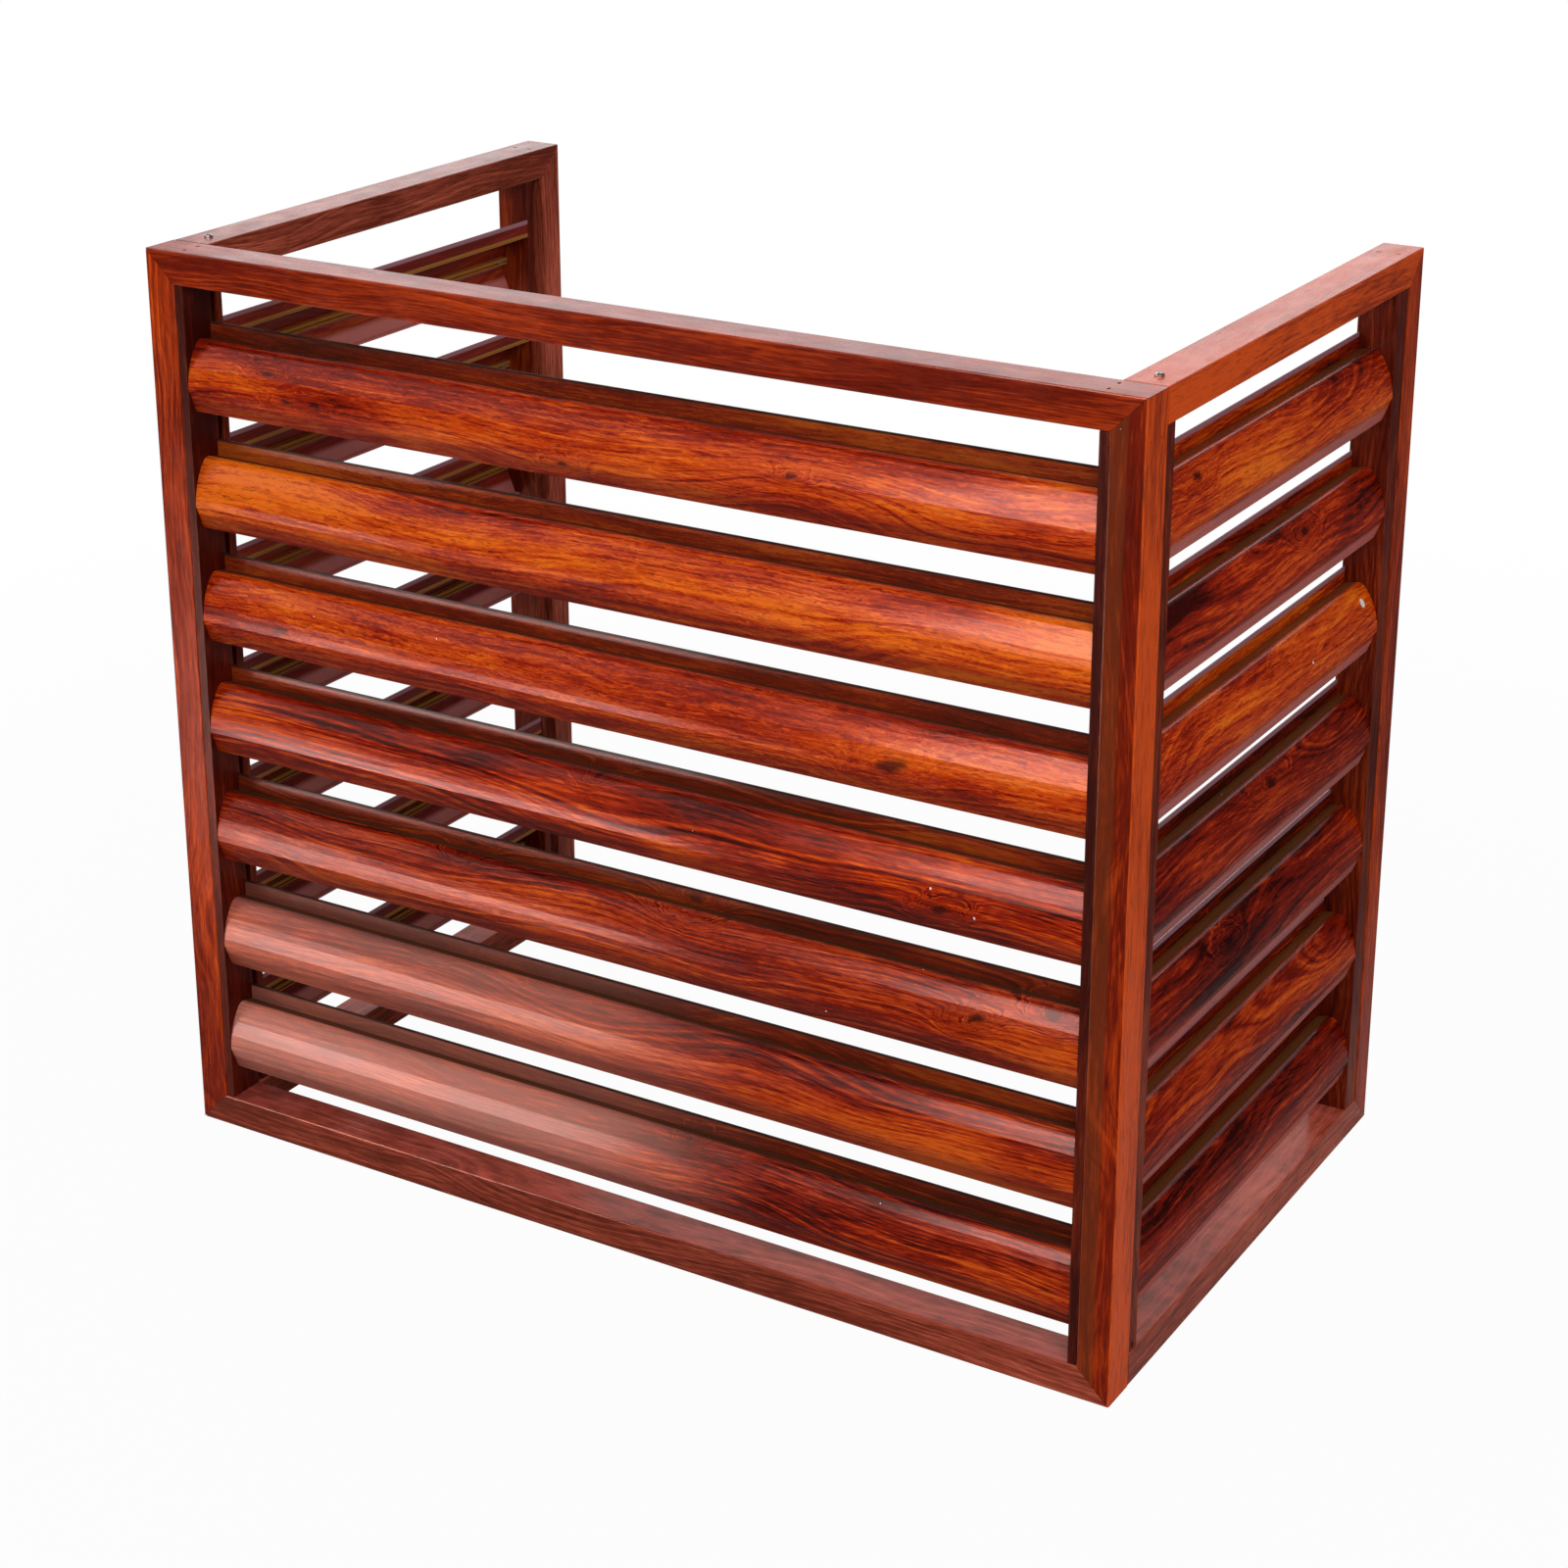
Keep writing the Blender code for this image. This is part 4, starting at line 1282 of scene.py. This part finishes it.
@dataclass(frozen=True)
class Studio:
    """A pale floor, a pale world and soft lamps."""

    floor_half: float = 14.0
    floor_drop: float = 0.0002
    floor_tone: float = 0.52
    floor_roughness: float = 0.9
    floor_gloss: float = 0.1
    floor_white: float = 0.965
    white_span: Span = (0.7, 2.4)
    mirror_dim: float = 0.7
    dim_span: Span = (0.5, 1.1)
    room_strength: float = 0.50
    mirror_strength: float = 0.05
    backdrop_strength: float = 0.78
    backdrop_heading: Place = (-0.75, 0.62, 0.2)
    backdrop_span: Span = (0.50, 0.86)
    boxes: tuple[Softbox, ...] = (
        Softbox("key_softbox", (2.3, -2.9, 2.5), (0.1, -0.1, 0.4), 1.6, 1.6, 7.0),
        Softbox("fill_softbox", (-2.6, -2.4, 2.4), (-0.1, 0.0, 0.4), 1.6, 1.6, 3.0),
        Softbox("back_softbox", (-1.05, 1.85, 1.45), (0.1, 0.0, 0.8), 1.9, 0.9, 1.3),
        Softbox("low_sheen_softbox", (-0.64, -0.92, 0.13), (-0.22, -0.27, 0.12), 0.48, 0.25, 25.0, True),
        Softbox("middle_sheen_softbox", (-0.82, -0.92, 0.31), (-0.38, -0.27, 0.36), 0.18, 0.22, 13.0, True),
        Softbox("crown_sheen_softbox", (-0.13, -1.45, 1.42), (0.38, -0.25, 0.6), 0.46, 1.30, 31.0, True),
    )

    def add_floor(self) -> None:
        """Adds the floor, white far off and shadowed under the screen."""
        mesh = bpy.data.meshes.new("studio_floor")
        half = self.floor_half
        corners = [(-half, -half, 0), (half, -half, 0), (half, half, 0), (-half, half, 0)]
        mesh.from_pydata(corners, [], [(0, 1, 2, 3)])
        mesh.materials.append(self.floor_material())
        floor = add_object("studio_floor", mesh)
        floor.location.z = -self.floor_drop
        LOG.info("added the floor")

    def floor_material(self) -> Material:
        """Builds a pale floor that the camera sees as nearly white.

        Returns:
            The floor's material.
        """
        made, net, shader = new_material("pale_floor")
        leave = made.node_tree.nodes["Material Output"]
        glow = net.node("ShaderNodeEmission")
        path = net.node("ShaderNodeLightPath").outputs
        away = net.vector("LENGTH", net.node("ShaderNodeTexCoord").outputs["Object"])
        far = net.ease(away, *self.white_span)
        white = net.plus(self.floor_white, net.times(far, 1.0 - self.floor_white))
        dimmed = net.times(path["Is Glossy Ray"], net.ease(away, *self.dim_span), self.mirror_dim)
        tone = net.mix(dimmed, (self.floor_tone,) * 3, ORIGIN)
        net.fill(
            shader, Base_Color=tone, Roughness=self.floor_roughness, Specular_IOR_Level=self.floor_gloss
        )
        seen = net.most(path["Is Camera Ray"], path["Is Transmission Ray"])
        share = net.times(seen, white)
        mixed = net.node("ShaderNodeMixShader", share, shader.outputs[0], glow.outputs[0])
        net.feed(leave.inputs["Surface"], mixed.outputs[0])
        return made

    def light_room(self) -> None:
        """Makes a world that is white to look at, dim in reflections and soft as a light."""
        world = bpy.data.worlds.new("studio_room")
        bpy.context.scene.world = world
        world.use_nodes = True
        net = Wiring(world.node_tree)
        path = net.node("ShaderNodeLightPath").outputs
        seen = net.most(path["Is Camera Ray"], path["Is Transmission Ray"])
        heading = net.node("ShaderNodeTexCoord").outputs["Generated"]
        facing = net.vector("DOT_PRODUCT", heading, self.backdrop_heading)
        backdrop = net.times(net.ease(facing, *self.backdrop_span), self.backdrop_strength)
        mirrored = net.times(path["Is Glossy Ray"], net.plus(self.mirror_strength, backdrop))
        dim = net.times(self.room_strength, net.minus(1.0, path["Is Glossy Ray"]))
        strength = net.most(net.most(seen, mirrored), dim)
        room = world.node_tree.nodes["Background"]
        net.fill(room, Color=(1.0, 1.0, 1.0), Strength=strength)
        LOG.info("lit the room")

    def build(self) -> None:
        """Adds the floor, the room's light and the lamps."""
        self.add_floor()
        self.light_room()
        for box in self.boxes:
            box.add()


@dataclass(frozen=True)
class Viewpoint:
    """The camera, where the photograph was taken from."""

    place: Place = (1.2927, -2.1578, 1.3683)
    azimuth: float = 30.939
    tilt: float = 19.307
    sensor_width: float = 36.0
    lens: float = 71.71
    shift: Span = (0.0, -0.1125)

    def build(self) -> None:
        """Adds the camera and makes it the scene's own."""
        data = bpy.data.cameras.new("viewpoint")
        data.sensor_width = self.sensor_width
        data.lens = self.lens
        data.shift_x, data.shift_y = self.shift
        camera = add_object("viewpoint", data)
        camera.location = self.place
        turn, tilt = math.radians(self.azimuth), math.radians(self.tilt)
        level = math.cos(tilt)
        heading = Vector((-math.sin(turn) * level, math.cos(turn) * level, -math.sin(tilt)))
        camera.rotation_euler = heading.to_track_quat("-Z", "Y").to_euler()
        bpy.context.scene.camera = camera
        LOG.info("set the camera")


def main() -> None:
    """Builds the camera, the finishes, the screws and the studio in order."""
    logging.basicConfig(level=logging.INFO, format="%(name)s: %(message)s")
    Viewpoint().build()
    Effects().build()
    steel = PLATED_STEEL.material("plated_steel")
    cast = CAST_ALUMINIUM.material("cast_aluminium")
    screws = SlatScrews()
    for panel in (FrontPanel(), SidePanel(), LEFT_PANEL):
        panel.build(screws, steel)
    Hardware().build(cast, steel)
    Studio().build()
    bpy.context.scene.view_settings.view_transform = "Standard"


if __name__ == "__main__":
    main()
